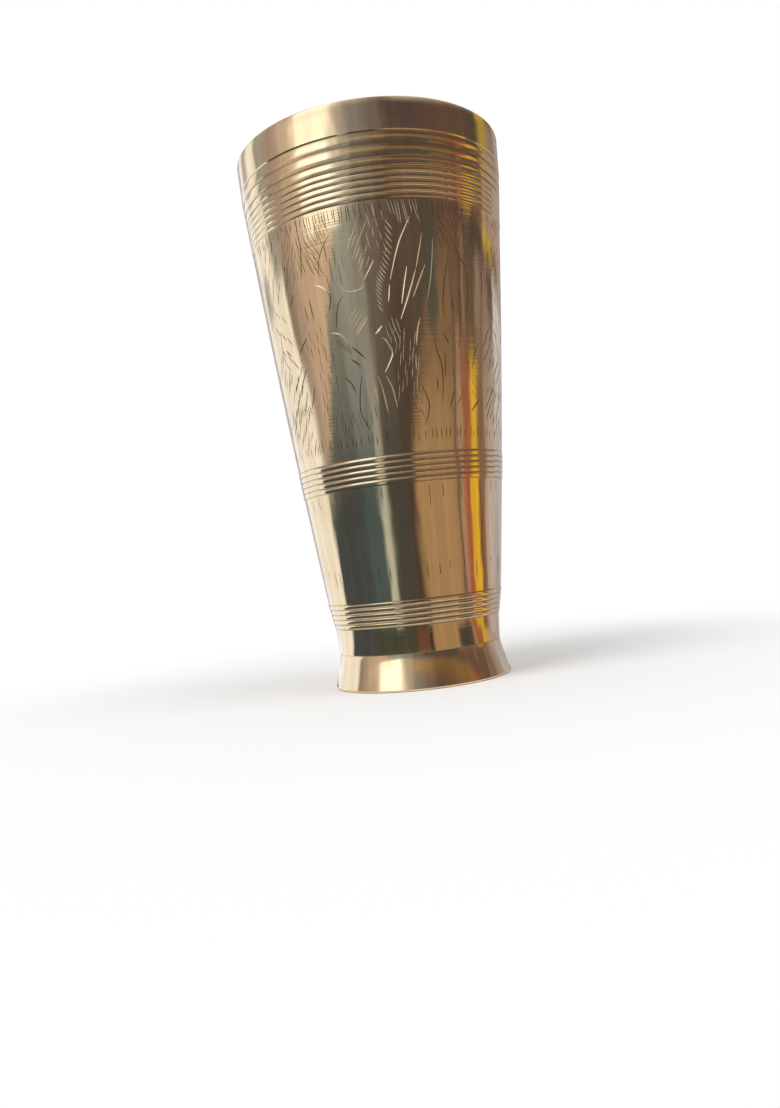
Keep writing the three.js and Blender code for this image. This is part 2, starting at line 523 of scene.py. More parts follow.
@dataclass(frozen=True)
class RibBand:
    """Ribs stacked upwards from their lowest edge, in millimetres.

    Attributes:
        lowest: Height of the lowest edge.
        count: Number of ribs.
        pitch: Height of one rib.
        rise: How far a rib stands proud of the wall.
        steps: Rows over one rib.
        crest: Power that shapes a rib, 1 for a half wave and less for a flatter crest.
    """

    lowest: float
    count: int
    pitch: float
    rise: float
    steps: int = 7
    crest: float = 0.7

    @property
    def top(self) -> float:
        """Height of the highest edge."""
        return self.lowest + self.count * self.pitch

    def heights(self) -> list[float]:
        """Heights of the rows that carry the ribs' rounds, from the lowest edge to the highest."""
        rows = self.count * self.steps
        return [self.lowest + (self.top - self.lowest) * i / rows for i in range(rows + 1)]


@dataclass(frozen=True)
class Row:
    """One row of an outline: radius and height in millimetres, and whether it lies on the outside."""

    radius: float
    height: float
    outside: bool = True


class Lathe:
    """Geometry Nodes that turn an outline about +Z and raise rib bands on its outside."""

    MERGE_DISTANCE = 0.002 * MM
    SHARP_ANGLE = math.radians(20)
    # Share of a rib by which its band reaches past its edges, so that their rows count as inside.
    EDGE_SLACK = 0.001
    # Power that narrows the darkening to the bottom of a valley between two ribs: painted shade there
    # with tarnished metal.
    VALLEY_POWER = 3.0

    def __init__(self, steps: int) -> None:
        """Keep the number of facets in a full turn."""
        self.steps = steps
        self.rib_tree = self.make_rib_tree()

    def make_rib_tree(self) -> GeometryTree:
        """Make the tree that says how far a rib band stands proud at a height.

        Returns:
            A tree with the rise, and how deep the place lies between two ribs from 0 to 1.
        """
        number = InputKind.NUMBER
        names = ("Height", "Lowest Edge", "Count", "Pitch", "Rise", "Crest Power")
        tree = GeometryTree("rib_band", dict.fromkeys(names, number), {"Proud": number, "Recess": number})
        given = tree.given
        place = tree.maths("SUBTRACT", given["Height"], given["Lowest Edge"])
        place = tree.maths("DIVIDE", place, given["Pitch"])
        end = tree.maths("ADD", given["Count"], self.EDGE_SLACK)
        inside = tree.within(place, -self.EDGE_SLACK, end)
        swing = tree.maths("SINE", tree.maths("MULTIPLY", place, math.pi))
        crest = tree.maths("POWER", tree.maths("ABSOLUTE", swing), given["Crest Power"])
        proud = tree.maths("MULTIPLY", tree.maths("MULTIPLY", crest, given["Rise"]), inside)
        # The valley's depth, which the finish paints darker as shade with tarnished metal.
        valley = tree.maths("POWER", tree.maths("SUBTRACT", 1.0, crest), self.VALLEY_POWER)
        tree.finish(Proud=proud, Recess=tree.maths("MULTIPLY", valley, inside))
        return tree

    def make_tree(self, name: str, bands: Sequence[RibBand]) -> GeometryTree:
        """Make the tree that turns one piece.

        Args:
            name: Name of the tree.
            bands: The rib bands on its outside.

        Returns:
            A tree that takes an outline of points and gives the turned piece.
        """
        tree = GeometryTree(
            name,
            {"Geometry": InputKind.GEOMETRY, "Steps": InputKind.COUNT,
             "Outside Finish": InputKind.MATERIAL, "Inside Finish": InputKind.MATERIAL},
            {"Geometry": InputKind.GEOMETRY},
        )
        given = tree.given
        outline = given["Geometry"]
        columns = tree.maths("ADD", given["Steps"], 1.0)
        rows = tree.add("GeometryNodeAttributeDomainSize", {0: outline}).outputs["Point Count"]
        grid = tree.result("GeometryNodeMeshGrid", {"Vertices X": rows, "Vertices Y": columns})

        # The half keeps a whole number from being rounded down to the row below.
        index = tree.result("GeometryNodeInputIndex")
        row = tree.maths("FLOOR", tree.maths("DIVIDE", tree.maths("ADD", index, 0.5), columns))
        column = tree.maths("SUBTRACT", index, tree.maths("MULTIPLY", row, columns))
        turn = tree.maths("DIVIDE", column, given["Steps"])
        angle = tree.maths("MULTIPLY", turn, -math.tau)
        radius, _, height = tree.split(tree.sample(outline, tree.position(), row, "FLOAT_VECTOR"))
        outside = tree.sample(outline, tree.attribute("outside"), row)

        recess: Number = 0.0
        for band in bands:
            sizes = {
                "Lowest Edge": band.lowest * MM, "Count": band.count, "Pitch": band.pitch * MM,
                "Rise": band.rise * MM, "Crest Power": band.crest,
            }
            proud, hollow = tree.use(self.rib_tree, {"Height": height, **sizes})
            radius = tree.maths("MULTIPLY_ADD", proud, outside, radius)
            recess = tree.maths("MULTIPLY_ADD", hollow, outside, recess)

        place = tree.around(radius, angle, height)
        mesh = tree.result("GeometryNodeSetPosition", {"Geometry": grid, "Position": place})
        # Stored so that the finish paints the valleys darker: painted shade with tarnished metal.
        mesh = tree.store(mesh, "recess", recess)
        mesh = tree.store(mesh, "outside", outside)
        close = {"Geometry": mesh, "Distance": self.MERGE_DISTANCE}
        mesh = self.shade(tree, tree.result("GeometryNodeMergeByDistance", close))
        mesh = tree.result("GeometryNodeRealizeInstances", {0: mesh})
        inner = tree.maths("LESS_THAN", tree.attribute("outside"), FLAG)
        mesh = tree.paint(mesh, given["Outside Finish"])
        tree.finish(Geometry=tree.paint(mesh, given["Inside Finish"], inner))
        return tree

    def shade(self, tree: GeometryTree, mesh: Socket) -> Socket:
        """Shade a mesh smooth except over its sharp edges.

        Args:
            tree: The tree that the mesh is made in.
            mesh: The mesh.

        Returns:
            The shaded mesh.
        """
        kind = "GeometryNodeSetShadeSmooth"
        mesh = tree.result(kind, {"Geometry": mesh, "Shade Smooth": True}, domain="FACE")
        bend = tree.add("GeometryNodeInputMeshEdgeAngle").outputs["Unsigned Angle"]
        soft = tree.maths("LESS_THAN", bend, self.SHARP_ANGLE)
        return tree.result(kind, {"Geometry": mesh, "Shade Smooth": soft}, domain="EDGE")

    def turn(
        self,
        name: str,
        outline: Sequence[Row],
        outside: bpy.types.Material,
        inside: bpy.types.Material,
        bands: Sequence[RibBand] = (),
    ) -> bpy.types.Mesh:
        """Turn one piece.

        Args:
            name: Name of the mesh.
            outline: Rows that run up the outside and down the inside.
            outside: Finish of the outside.
            inside: Finish of the inside.
            bands: Rib bands on the outside.

        Returns:
            The turned piece as a plain mesh.
        """
        rows = list(outline)
        if rows[0].radius > 0:
            rows.append(rows[0])
        points = [Vector((row.radius, 0, row.height)) * MM for row in rows]
        source = polyline_mesh(f"{name}_outline", [points])
        set_numbers(source, "outside", [float(row.outside) for row in rows])
        values = {"Steps": self.steps, "Outside Finish": outside, "Inside Finish": inside}
        return self.make_tree(f"turn_{name}", bands).run(name, source, values)


class Motif(ABC):
    """A group of graver strokes, in degrees from the panel's middle and millimetres of height."""

    @abstractmethod
    def strokes(self) -> Iterator["Stroke"]:
        """Yield the strokes one by one."""


@dataclass(frozen=True)
class Stroke(Motif):
    """One cut of the graver through a few points. Its weight scales its width and depth."""

    points: Sequence[FlatPoint]
    weight: float = 1.0

    def strokes(self) -> Iterator["Stroke"]:
        """Yield the stroke itself."""
        yield self


def bowed(start: FlatPoint, run: FlatPoint, bow: float, weight: float) -> Stroke:
    """Return a slightly curved stroke.

    Args:
        start: Where it starts.
        run: How far it goes, in degrees and millimetres.
        bow: Degrees that its middle stands to the right.
        weight: Scale of its width and depth.

    Returns:
        A stroke of three points.
    """
    middle = (start[0] + run[0] / 2 + bow, start[1] + run[1] / 2)
    return Stroke((start, middle, (start[0] + run[0], start[1] + run[1])), weight)


def between(line: Sequence[FlatPoint], share: float) -> FlatPoint:
    """Find a point on a line.

    Args:
        line: Points of the line.
        share: Share of the way along it, counted in its points.

    Returns:
        The point.
    """
    place = share * (len(line) - 1)
    before = min(int(place), len(line) - 2)
    rest = place - before
    (a0, z0), (a1, z1) = line[before], line[before + 1]
    return a0 + (a1 - a0) * rest, z0 + (z1 - z0) * rest


def either_way(chance: random.Random, reach: float) -> float:
    """Return a random number, up to a reach on either side of 0."""
    return chance.uniform(-reach, reach)


@dataclass(frozen=True)
class Barbs(Motif):
    """Strokes that start evenly along a line and shorten from its first end to its last.

    Attributes:
        line: Points of the line that they start from.
        count: Number of strokes.
        run: How far the first one goes, in degrees and millimetres.
        shrink: Length of the last one, as a share of the first.
        weight: Scale of their width and depth.
    """

    line: Sequence[FlatPoint]
    count: int
    run: FlatPoint
    shrink: float = 1.0
    weight: float = 0.9

    BOW = -0.12

    def strokes(self) -> Iterator[Stroke]:
        """Yield the strokes from the first to the last."""
        for i in range(self.count):
            share = i / (self.count - 1)
            size = 1 + (self.shrink - 1) * share
            run = (self.run[0] * size, self.run[1] * size)
            yield bowed(between(self.line, share), run, self.BOW, self.weight)


@dataclass(frozen=True)
class Fringe(Motif):
    """A row of short strokes that start on one height, a little uneven as cut by hand.

    Attributes:
        edge: Height that they start from.
        reach: Shortest and longest stroke, negative to hang down.
        span: First and last angle of the row.
        pitch: Degrees from one stroke to the next.
        lean: Least and most degrees that a stroke's end stands to the right of its start.
        seed: Number that fixes the unevenness.
        weight: Scale of their width and depth.
    """

    edge: float
    reach: tuple[float, float]
    span: tuple[float, float]
    pitch: float
    lean: tuple[float, float]
    seed: int
    weight: float = 0.8

    # Reach of the unevenness: share of the pitch, millimetres and degrees.
    PLACE_REACH = 0.35
    EDGE_REACH = 0.4
    BOW_REACH = 0.2

    def strokes(self) -> Iterator[Stroke]:
        """Yield the strokes from the first angle to the last."""
        chance = random.Random(self.seed)
        count = round((self.span[1] - self.span[0]) / self.pitch)
        for i in range(count):
            angle = self.span[0] + (i + 0.5 + either_way(chance, self.PLACE_REACH)) * self.pitch
            start = (angle, self.edge + either_way(chance, self.EDGE_REACH))
            run = (chance.uniform(*self.lean), chance.uniform(*self.reach))
            yield bowed(start, run, either_way(chance, self.BOW_REACH), self.weight)


@dataclass(frozen=True)
class Thicket(Motif):
    """Fine strokes strewn evenly over a patch, all cut about the same way.

    Attributes:
        corner: Least angle and height of the patch.
        size: Width of the patch in degrees and its height in millimetres.
        count: Number of strokes.
        run: How far a middling stroke goes, in degrees and millimetres.
        seed: Number that fixes the unevenness.
        weight: Scale of their width and depth.
    """

    corner: FlatPoint
    size: FlatPoint
    count: int
    run: FlatPoint
    seed: int
    weight: float = 0.62

    # Share of the width from one stroke to the next, which spreads them evenly.
    GOLDEN_SHARE = 0.618
    # Reach of the unevenness: share of the width, degrees, and shares of length and weight.
    PLACE_REACH = 0.06
    LEAN_REACH = 0.3
    BOW_REACH = 0.2
    LENGTHS = (0.7, 1.45)
    WEIGHTS = (0.8, 1.2)

    def strokes(self) -> Iterator[Stroke]:
        """Yield the strokes from the lowest to the highest."""
        chance = random.Random(self.seed)
        for i in range(self.count):
            across = (i * self.GOLDEN_SHARE + either_way(chance, self.PLACE_REACH)) % 1
            length = chance.uniform(*self.LENGTHS)
            run = (self.run[0] * length + either_way(chance, self.LEAN_REACH), self.run[1] * length)
            angle = self.corner[0] + self.size[0] * across - run[0] / 2
            height = self.corner[1] + self.size[1] * (i + 0.5) / self.count - run[1] / 2
            bow = either_way(chance, self.BOW_REACH)
            weight = self.weight * chance.uniform(*self.WEIGHTS)
            yield bowed((angle, height), run, bow, weight)


# Short strokes along the rib bands, over the whole width of a panel; they are cut dark, as painted shade
# in the groove with tarnished metal.
FRINGES: tuple[Motif, ...] = (
    Fringe(166.3, (-6.5, -2.6), (-60, 5), 1.5, (-0.3, 0.8), 3),
    Fringe(166.3, (-6.5, -3.0), (18, 60), 1.45, (-0.9, 0.7), 7),
    Fringe(86.2, (2.6, 5.0), (-60, 60), 2.9, (-0.4, 0.6), 17, 0.9),
    Fringe(71.8, (-8.0, -3.0), (-60, 60), 8.6, (-0.2, 0.4), 19),
    Fringe(44.0, (-7.0, -2.5), (-60, 60), 7.4, (-0.3, 0.3), 23),
)

# Clean cuts in the middle of a panel.
FRONT_BRIGHT: tuple[Motif, ...] = (
    Fringe(166.3, (-8.5, -5.0), (5, 18), 1.5, (0.6, 1.9), 5, 0.6),
    Barbs(((4.6, 160), (3.8, 154), (2.2, 148.4), (0.2, 144.4), (-1.6, 141.6), (-2.4, 138), (-2.2, 132.6)),
          18, (2.8, -3.5), 0.72, 1.0),
    Stroke(((15, 160.5), (12.6, 157), (10.2, 153.5), (8, 149.3), (6.2, 145), (4.3, 140.2)), 1.1),
    Stroke(((3.8, 138.7), (2.6, 133)), 1.2),
    Stroke(((12, 144.3), (10, 138), (8.3, 132)), 1.3),
    Stroke(((19.7, 155), (18.6, 151.2), (16, 143.6))),
    Stroke(((15.8, 143.2), (14.3, 140), (11, 133.6), (7.3, 127)), 1.35),
    Stroke(((20.3, 144.7), (17, 139.5), (13.7, 134))),
    Stroke(((24.7, 153.5), (22.7, 141.5), (20.1, 133)), 0.8),
    Stroke(((16, 127), (14.4, 123), (13.3, 118)), 1.1),
    Stroke(((12.7, 115), (12.3, 110))),
    Stroke(((-18.6, 142), (-16.5, 139.2), (-13, 138.2), (-9, 138.4), (-6.7, 140)), 0.7),
    Stroke(((-1.8, 147.2), (-4.5, 144), (-7, 141)), 1.35),
    Barbs(((-5.6, 148.6), (-8.2, 156)), 3, (-3.0, -4.8), 0.8, 0.8),
    Stroke(((-29.3, 143), (-27, 142.2), (-24.7, 140.3)), 1.9),
    Barbs(((-11.0, 133.5), (-8.2, 129.5)), 4, (-5.6, -5.4), 1.0, 0.55),
    Stroke(((-7.4, 128.9), (-10.5, 126), (-13.4, 123.4)), 1.4),
    Stroke(((-25, 126), (-22, 125.4), (-20, 124.3), (-17.7, 121.5)), 1.2),
    Stroke(((-1.3, 125.5), (-4.7, 123)), 1.9),
    Stroke(((-1.7, 121.7), (0, 120), (2, 117), (1.3, 114.5), (-2.3, 110)), 1.4),
    Stroke(((-8.6, 107.6), (-7.8, 106), (-7.7, 103.5), (-7.2, 99.5)), 1.1),
    Stroke(((-5.7, 109), (-4.3, 104), (-3, 96.5)), 1.25),
    Stroke(((-2.2, 109), (0.3, 104.5), (1.7, 97.7)), 1.25),
    Thicket((-12, 146), (8, 13), 9, (2.6, 4.6), 31),
    Thicket((-6, 150), (10, 14), 10, (0.9, -4.2), 32),
    Thicket((0.4, 119), (6, 7), 10, (1.0, -3.8), 34),
    Thicket((3, 102), (11, 20), 18, (0.9, 4.6), 35, 0.42),
)

# Cuts in the middle of a panel, painted dark: painted shade in the groove with tarnished metal.
FRONT_DARK: tuple[Motif, ...] = (
    Stroke(((-24.3, 139.8), (-23, 138.3), (-23.2, 136), (-25, 132.7)), 1.1),
    Stroke(((-17.3, 137.2), (-19.5, 135), (-21, 132), (-22.3, 127))),
    Barbs(((-23.2, 124.2), (-17.6, 120.8)), 5, (0.9, -3.6), 1.0, 0.8),
    Stroke(((-16.3, 120), (-13.6, 118), (-10.7, 115.5)), 1.5),
    Stroke(((-17.3, 116), (-13, 113)), 1.4),
    Stroke(((-22, 110.5), (-19, 108), (-17.3, 104.5)), 1.2),
    Stroke(((-13.3, 110), (-15, 105.5), (-16.3, 99.5), (-15.7, 96), (-13.3, 92)), 1.1),
    Stroke(((14.2, 105), (16, 101.5), (17.4, 98.2), (16.4, 94.5), (14.4, 91)), 1.1),
    Thicket((-23, 141), (9, 13), 6, (0.4, -5.6), 33),
    Thicket((9.5, 94), (4.5, 9), 6, (1.0, -2.6), 36),
    Thicket((-24, 92), (8, 5), 5, (0.4, -4.4), 37),
    Thicket((-14, 93), (12, 5), 5, (0.4, -4.4), 38),
    Thicket((3, 102), (12, 20), 22, (0.9, 4.6), 39, 0.45),
    Stroke(((-19.6, 157.8), (-23.6, 154), (-26.2, 149.8), (-27, 145)), 0.8),
)

# Cuts on the right of a panel, painted dark: painted shade in the groove with tarnished metal.
RIGHT: tuple[Motif, ...] = (
    Stroke(((22, 122), (22.7, 117), (25, 111.5), (25.3, 105), (24.3, 98.5)), 1.15),
    Stroke(((27.3, 116), (26.7, 106.5)), 1.1),
    Stroke(((22.1, 107), (22.4, 102.5)), 1.2),
    Stroke(((27, 122), (29.7, 118)), 1.2),
    Stroke(((32, 103.5), (28.3, 96.7)), 1.2),
    Stroke(((36, 101), (33, 98)), 1.1),
    Stroke(((31.7, 148.6), (30.4, 144), (28.7, 138), (27.7, 132), (28, 127))),
    Stroke(((36.3, 149), (40, 146), (41, 144.5)), 1.2),
    Stroke(((32.3, 133.5), (32.5, 129.5)), 1.1),
    Stroke(((42, 143), (42.3, 138), (41.3, 132), (40, 126))),
    Stroke(((37, 138), (37.7, 132), (36.7, 125), (36, 117.5))),
    Stroke(((52.7, 145.5), (52.3, 140), (52, 135))),
    Stroke(((48.7, 119.5), (45.3, 115.5), (43.3, 110)), 1.2),
    Stroke(((47.3, 99.5), (41.7, 95.3)), 1.5),
    Barbs(((41.8, 127), (43.4, 141)), 10, (3.2, 0.5), 1.0, 0.5),
    Thicket((27.5, 150), (10, 12), 24, (1.7, -4.2), 41),
    Thicket((38, 147), (11, 15), 34, (-1.7, -4.2), 42),
    Thicket((50, 138), (10, 24), 9, (1.4, 5.4), 43),
    Thicket((53, 93), (9, 11), 13, (2.8, 3.6), 44, 1.0),
    Thicket((53, 112), (9, 12), 8, (3.6, 3.6), 47, 1.0),
    Thicket((42.5, 99), (6, 8), 7, (1.2, -2.6), 45),
    Thicket((29, 94), (13, 32), 6, (0.6, -4.6), 46),
)

# Cuts on the left of a panel, painted dark: painted shade in the groove with tarnished metal.
LEFT: tuple[Motif, ...] = (
    Stroke(((-34.7, 160.7), (-34, 156.5), (-36.3, 146.5)), 1.1),
    Stroke(((-45, 152.7), (-46, 151.3)), 1.5),
    Stroke(((-37.3, 137.3), (-36.5, 131.5)), 1.1),
    Stroke(((-34, 139), (-33.2, 131.5)), 1.1),
    Stroke(((-42.5, 142.5), (-46.5, 139)), 1.2),
    Stroke(((-39.4, 126.6), (-42.7, 124.4), (-45.3, 122.4)), 1.3),
    Stroke(((-42.9, 116.8), (-47.6, 112.2), (-52, 107.8)), 1.3),
    Stroke(((-48.9, 115.3), (-55.6, 109.7)), 1.3),
    Stroke(((-56.5, 125.5), (-52.6, 122.6)), 1.5),
    Stroke(((-39.9, 110), (-41.7, 106), (-44.8, 102.6)), 1.2),
    Stroke(((-58.5, 133), (-60, 126), (-58.8, 120.8), (-55.4, 118)), 1.1),
    Barbs(((-59, 104.8), (-46, 104)), 9, (1.2, -3.6)),
    Thicket((-31.5, 146), (6.5, 12), 18, (2.1, -3.0), 51),
    Thicket((-31.5, 156.5), (12.5, 6), 12, (1.2, -4.6), 52),
    Thicket((-47, 145.5), (9, 16), 18, (-2.4, -5.4), 53, 0.55),
    Thicket((-38.5, 147.5), (7.5, 14), 10, (0.8, -4.2), 54),
    Thicket((-40.5, 119), (11, 9), 9, (0.4, -4.6), 55),
    Thicket((-36, 103.5), (11, 15), 9, (0.3, -5.2), 56),
    Thicket((-38, 92.5), (13, 9), 8, (-0.6, -4.8), 57),
    Thicket((-62, 141), (12, 23), 13, (-1.8, -4.2), 58, 1.0),
    Thicket((-62, 118), (12, 22), 8, (2.8, -3.0), 59, 1.0),
    Thicket((-62, 89), (15, 28), 22, (-2.8, -4.2), 60, 1.0),
)


@dataclass(frozen=True)
class Engraving:
    """Graver strokes round the wall: one panel of motifs, repeated with the unevenness of handwork.

    Attributes:
        bright: The motifs of one panel whose cuts are clean.
        dark: The motifs of one panel whose cuts are painted dark, as shade in the groove with tarnished
            metal.
        panels: Number of panels round the wall.
        width: Width of a stroke of weight 1, in millimetres.
        depth: Depth of a stroke of weight 1, in millimetres.
        proud: How far the cutter stands out of the wall, in millimetres.
        tarnish: How far the dark cuts are painted dark, as shade with tarnished metal, 0 to 1.
        stray: How far a stroke of a repeated panel strays, in millimetres.
        step: Length of one facet along a stroke, in millimetres.
        layout_radius: Radius at which the panel is laid out flat, in millimetres.
        seed: Number that fixes the straying.
    """

    bright: Sequence[Motif]
    dark: Sequence[Motif]
    panels: int = 3
    width: float = 0.38
    depth: float = 0.105
    proud: float = 0.3
    tarnish: float = 1.0
    stray: float = 1.1
    step: float = 1.6
    layout_radius: float = 40.0
    seed: int = 29

    SURFACE_SIZES = ("Hip Height", "Hip Radius", "Shoulder Height", "Shoulder Radius", "Belly")
    # Power of the swell of a stroke from its ends, and the least share of its thickness there.
    ARCH_POWER = 0.35
    END_SHARE = 0.35
    LEAST_FACETS = 2.0

    def layout(self) -> bpy.types.Mesh:
        """Lay the panel's strokes out flat.

        Returns:
            A mesh of lines in the XY plane: X along the arc at the layout radius, Y up the wall.
        """
        bright = [stroke for motif in self.bright for stroke in motif.strokes()]
        dark = [stroke for motif in self.dark for stroke in motif.strokes()]
        strokes = bright + dark
        # The dark strokes carry the share of painted shade with tarnished metal.
        shares = [0.0] * len(bright) + [self.tarnish] * len(dark)
        arc = self.layout_radius * math.radians(1)
        lines = [
            [Vector((angle * arc, height, 0)) * MM for angle, height in stroke.points]
            for stroke in strokes
        ]
        mesh = polyline_mesh("engraving_layout", lines)
        set_numbers(mesh, "weight", [stroke.weight for stroke in strokes for _ in stroke.points])
        tarnish = [share for stroke, share in zip(strokes, shares) for _ in stroke.points]
        set_numbers(mesh, "tarnish", tarnish)
        LOG.info("engraving: %d strokes in each of %d panels", len(strokes), self.panels)
        return mesh

    def make_surface_tree(self) -> GeometryTree:
        """Make the tree that gives the wall's radius and slope at a height.

        Returns:
            A tree of the swelling taper between hip and shoulder.
        """
        number = InputKind.NUMBER
        inputs = dict.fromkeys(("Height", *self.SURFACE_SIZES), number)
        tree = GeometryTree("wall_surface", inputs, {"Radius": number, "Slope": number})
        given = tree.given
        span = tree.maths("SUBTRACT", given["Shoulder Height"], given["Hip Height"])
        gain = tree.maths("SUBTRACT", given["Shoulder Radius"], given["Hip Radius"])
        up = tree.maths("DIVIDE", tree.maths("SUBTRACT", given["Height"], given["Hip Height"]), span)
        down = tree.maths("SUBTRACT", 1.0, up)
        swell = tree.maths("MULTIPLY", given["Belly"], PEAK)
        bulge = tree.maths("MULTIPLY", swell, tree.maths("MULTIPLY", up, down))
        radius = tree.maths("ADD", tree.maths("MULTIPLY_ADD", gain, up, given["Hip Radius"]), bulge)
        bulge_slope = tree.maths("MULTIPLY", swell, tree.maths("SUBTRACT", down, up))
        slope = tree.maths("DIVIDE", tree.maths("ADD", gain, bulge_slope), span)
        tree.finish(Radius=radius, Slope=slope)
        return tree

    def make_tree(self, lathe: Lathe) -> GeometryTree:
        """Make the tree that cuts the strokes into the wall.

        Args:
            lathe: The lathe, for its rule on which edges are sharp.

        Returns:
            A tree that takes the turned wall and gives the engraved one.
        """
        sizes = (
            "Step", "Layout Radius", "Width", "Depth", "Proud", "Stray",
            *self.SURFACE_SIZES, "Band Low", "Band High",
        )
        tree = GeometryTree(
            "engraving",
            {"Geometry": InputKind.GEOMETRY, "Strokes": InputKind.OBJECT, "Panels": InputKind.COUNT,
             "Seed": InputKind.COUNT, **dict.fromkeys(sizes, InputKind.NUMBER),
             "Wall Finish": InputKind.MATERIAL, "Cut Finish": InputKind.MATERIAL},
            {"Geometry": InputKind.GEOMETRY},
        )
        surface = self.make_surface_tree()
        pair = {"Mesh 1": tree.given["Geometry"], "Mesh 2": self.cutters(tree, surface)}
        mesh = tree.result("GeometryNodeMeshBoolean", pair, operation="DIFFERENCE", solver="MANIFOLD")
        # Well-shaped triangles leave no slivers where strokes run into each other.
        way = "BEAUTY"
        mesh = tree.result("GeometryNodeTriangulate", {"Mesh": mesh}, quad_method=way, ngon_method=way)
        mesh = self.true_normals(tree, surface, lathe.shade(tree, mesh))
        mesh = tree.result("GeometryNodeRealizeInstances", {0: mesh})
        finish = tree.given["Cut Finish"]
        cut = tree.result("GeometryNodeMaterialSelection", {0: finish})
        tree.finish(Geometry=tree.paint(mesh, finish, cut))
        return tree

    def surface_at(
        self, tree: GeometryTree, surface: GeometryTree, height: Socket
    ) -> bpy.types.NodeOutputs:
        """Return the wall's radius and slope at a height."""
        sizes = {name: tree.given[name] for name in self.SURFACE_SIZES}
        return tree.use(surface, {"Height": height, **sizes})

    def copies(self, tree: GeometryTree) -> tuple[Socket, Socket]:
        """Make the strokes smooth curves, once for each panel.

        Args:
            tree: The engraving tree.

        Returns:
            The curves, still flat, and the number of the panel that each belongs to.
        """
        given = tree.given
        strokes = tree.add("GeometryNodeObjectInfo", {"Object": given["Strokes"]}).outputs["Geometry"]
        curves = tree.result("GeometryNodeMeshToCurve", {0: strokes})
        curves = tree.result("GeometryNodeCurveSplineType", {0: curves}, spline_type="CATMULL_ROM")
        length = tree.add("GeometryNodeSplineLength").outputs["Length"]
        facets = tree.maths("ROUND", tree.maths("DIVIDE", length, given["Step"]))
        points = tree.maths("ADD", tree.maths("MAXIMUM", facets, self.LEAST_FACETS), 1.0)
        curves = tree.result("GeometryNodeResampleCurve", {"Curve": curves, "Count": points})
        amount = {"Geometry": curves, "Amount": given["Panels"]}
        copies = tree.add("GeometryNodeDuplicateElements", amount, domain="SPLINE")
        return copies.outputs[0], copies.outputs["Duplicate Index"]

    def wrap(self, tree: GeometryTree, surface: GeometryTree) -> Socket:
        """Wrap the strokes round the wall, with those of the repeated panels a little astray.

        Args:
            tree: The engraving tree.
            surface: The tree of the wall's surface.

        Returns:
            The curves on the wall, with their normals outwards.
        """
        given = tree.given
        curves, panel = self.copies(tree)
        which = tree.result("GeometryNodeInputIndex")
        on_curve = tree.result("GeometryNodeFieldOnDomain", {0: which}, domain="CURVE", data_type="INT")
        corners = {0: (-1, -1, 0), 1: (1, 1, 0), "ID": on_curve, "Seed": given["Seed"]}
        chance = tree.result("FunctionNodeRandomValue", corners, data_type="FLOAT_VECTOR")
        reach = tree.maths("MULTIPLY", tree.maths("MINIMUM", panel, 1.0), given["Stray"])
        stray = tree.result("ShaderNodeVectorMath", {0: chance, "Scale": reach}, operation="SCALE")

        along, height, _ = tree.split(tree.vectors("ADD", tree.position(), stray))
        low = tree.maths("ADD", given["Hip Height"], given["Width"])
        high = tree.maths("SUBTRACT", given["Shoulder Height"], given["Width"])
        height = tree.maths("MINIMUM", tree.maths("MAXIMUM", height, low), high)
        angle = tree.maths("DIVIDE", along, given["Layout Radius"])
        angle = tree.maths("MULTIPLY_ADD", panel, tree.maths("DIVIDE", math.tau, given["Panels"]), angle)
        radius, slope = self.surface_at(tree, surface, height)
        outward = tree.around(1.0, angle, tree.negative(slope))
        place = tree.around(radius, angle, height)
        curves = tree.store(curves, "outward", outward, kind="FLOAT_VECTOR")
        curves = tree.result("GeometryNodeSetPosition", {"Geometry": curves, "Position": place})
        upright = {"Curve": curves, "Normal": tree.attribute("outward", "FLOAT_VECTOR")}
        return tree.result("GeometryNodeSetCurveNormal", upright, mode="FREE")

    def cutters(self, tree: GeometryTree, surface: GeometryTree) -> Socket:
        """Give each stroke on the wall the shape of a graver's cut.

        Args:
            tree: The engraving tree.
            surface: The tree of the wall's surface.

        Returns:
            One closed cutter for each stroke.
        """
        given = tree.given
        sizes = {"Width": given["Width"], "Bottom Height": given["Depth"], "Top Height": given["Proud"]}
        kite = tree.result("GeometryNodeCurvePrimitiveQuadrilateral", sizes, mode="KITE")
        quarter_turn = (0, 0, -math.pi / 2)
        kite = tree.result("GeometryNodeTransform", {"Geometry": kite, "Rotation": quarter_turn})
        share = tree.add("GeometryNodeSplineParameter").outputs["Factor"]
        swell = tree.maths("SINE", tree.maths("MULTIPLY", share, math.pi))
        arch = tree.maths("MAXIMUM", tree.maths("POWER", swell, self.ARCH_POWER), self.END_SHARE)
        thickness = tree.maths("MULTIPLY", tree.attribute("weight"), arch)
        sweep = {"Curve": self.wrap(tree, surface), "Profile Curve": kite, "Scale": thickness}
        mesh = tree.result("GeometryNodeCurveToMesh", {**sweep, "Fill Caps": True})
        mesh = tree.paint(mesh, given["Cut Finish"])
        # Which cuts are painted dark, as shade in the groove with tarnished metal.
        mesh = tree.store(mesh, "cut_recess", tree.attribute("tarnish"), "FACE")
        island = tree.add("GeometryNodeInputMeshIsland").outputs["Island Index"]
        groups = {"Geometry": mesh, "Group ID": island}
        return tree.result("GeometryNodeSplitToInstances", groups, domain="FACE")

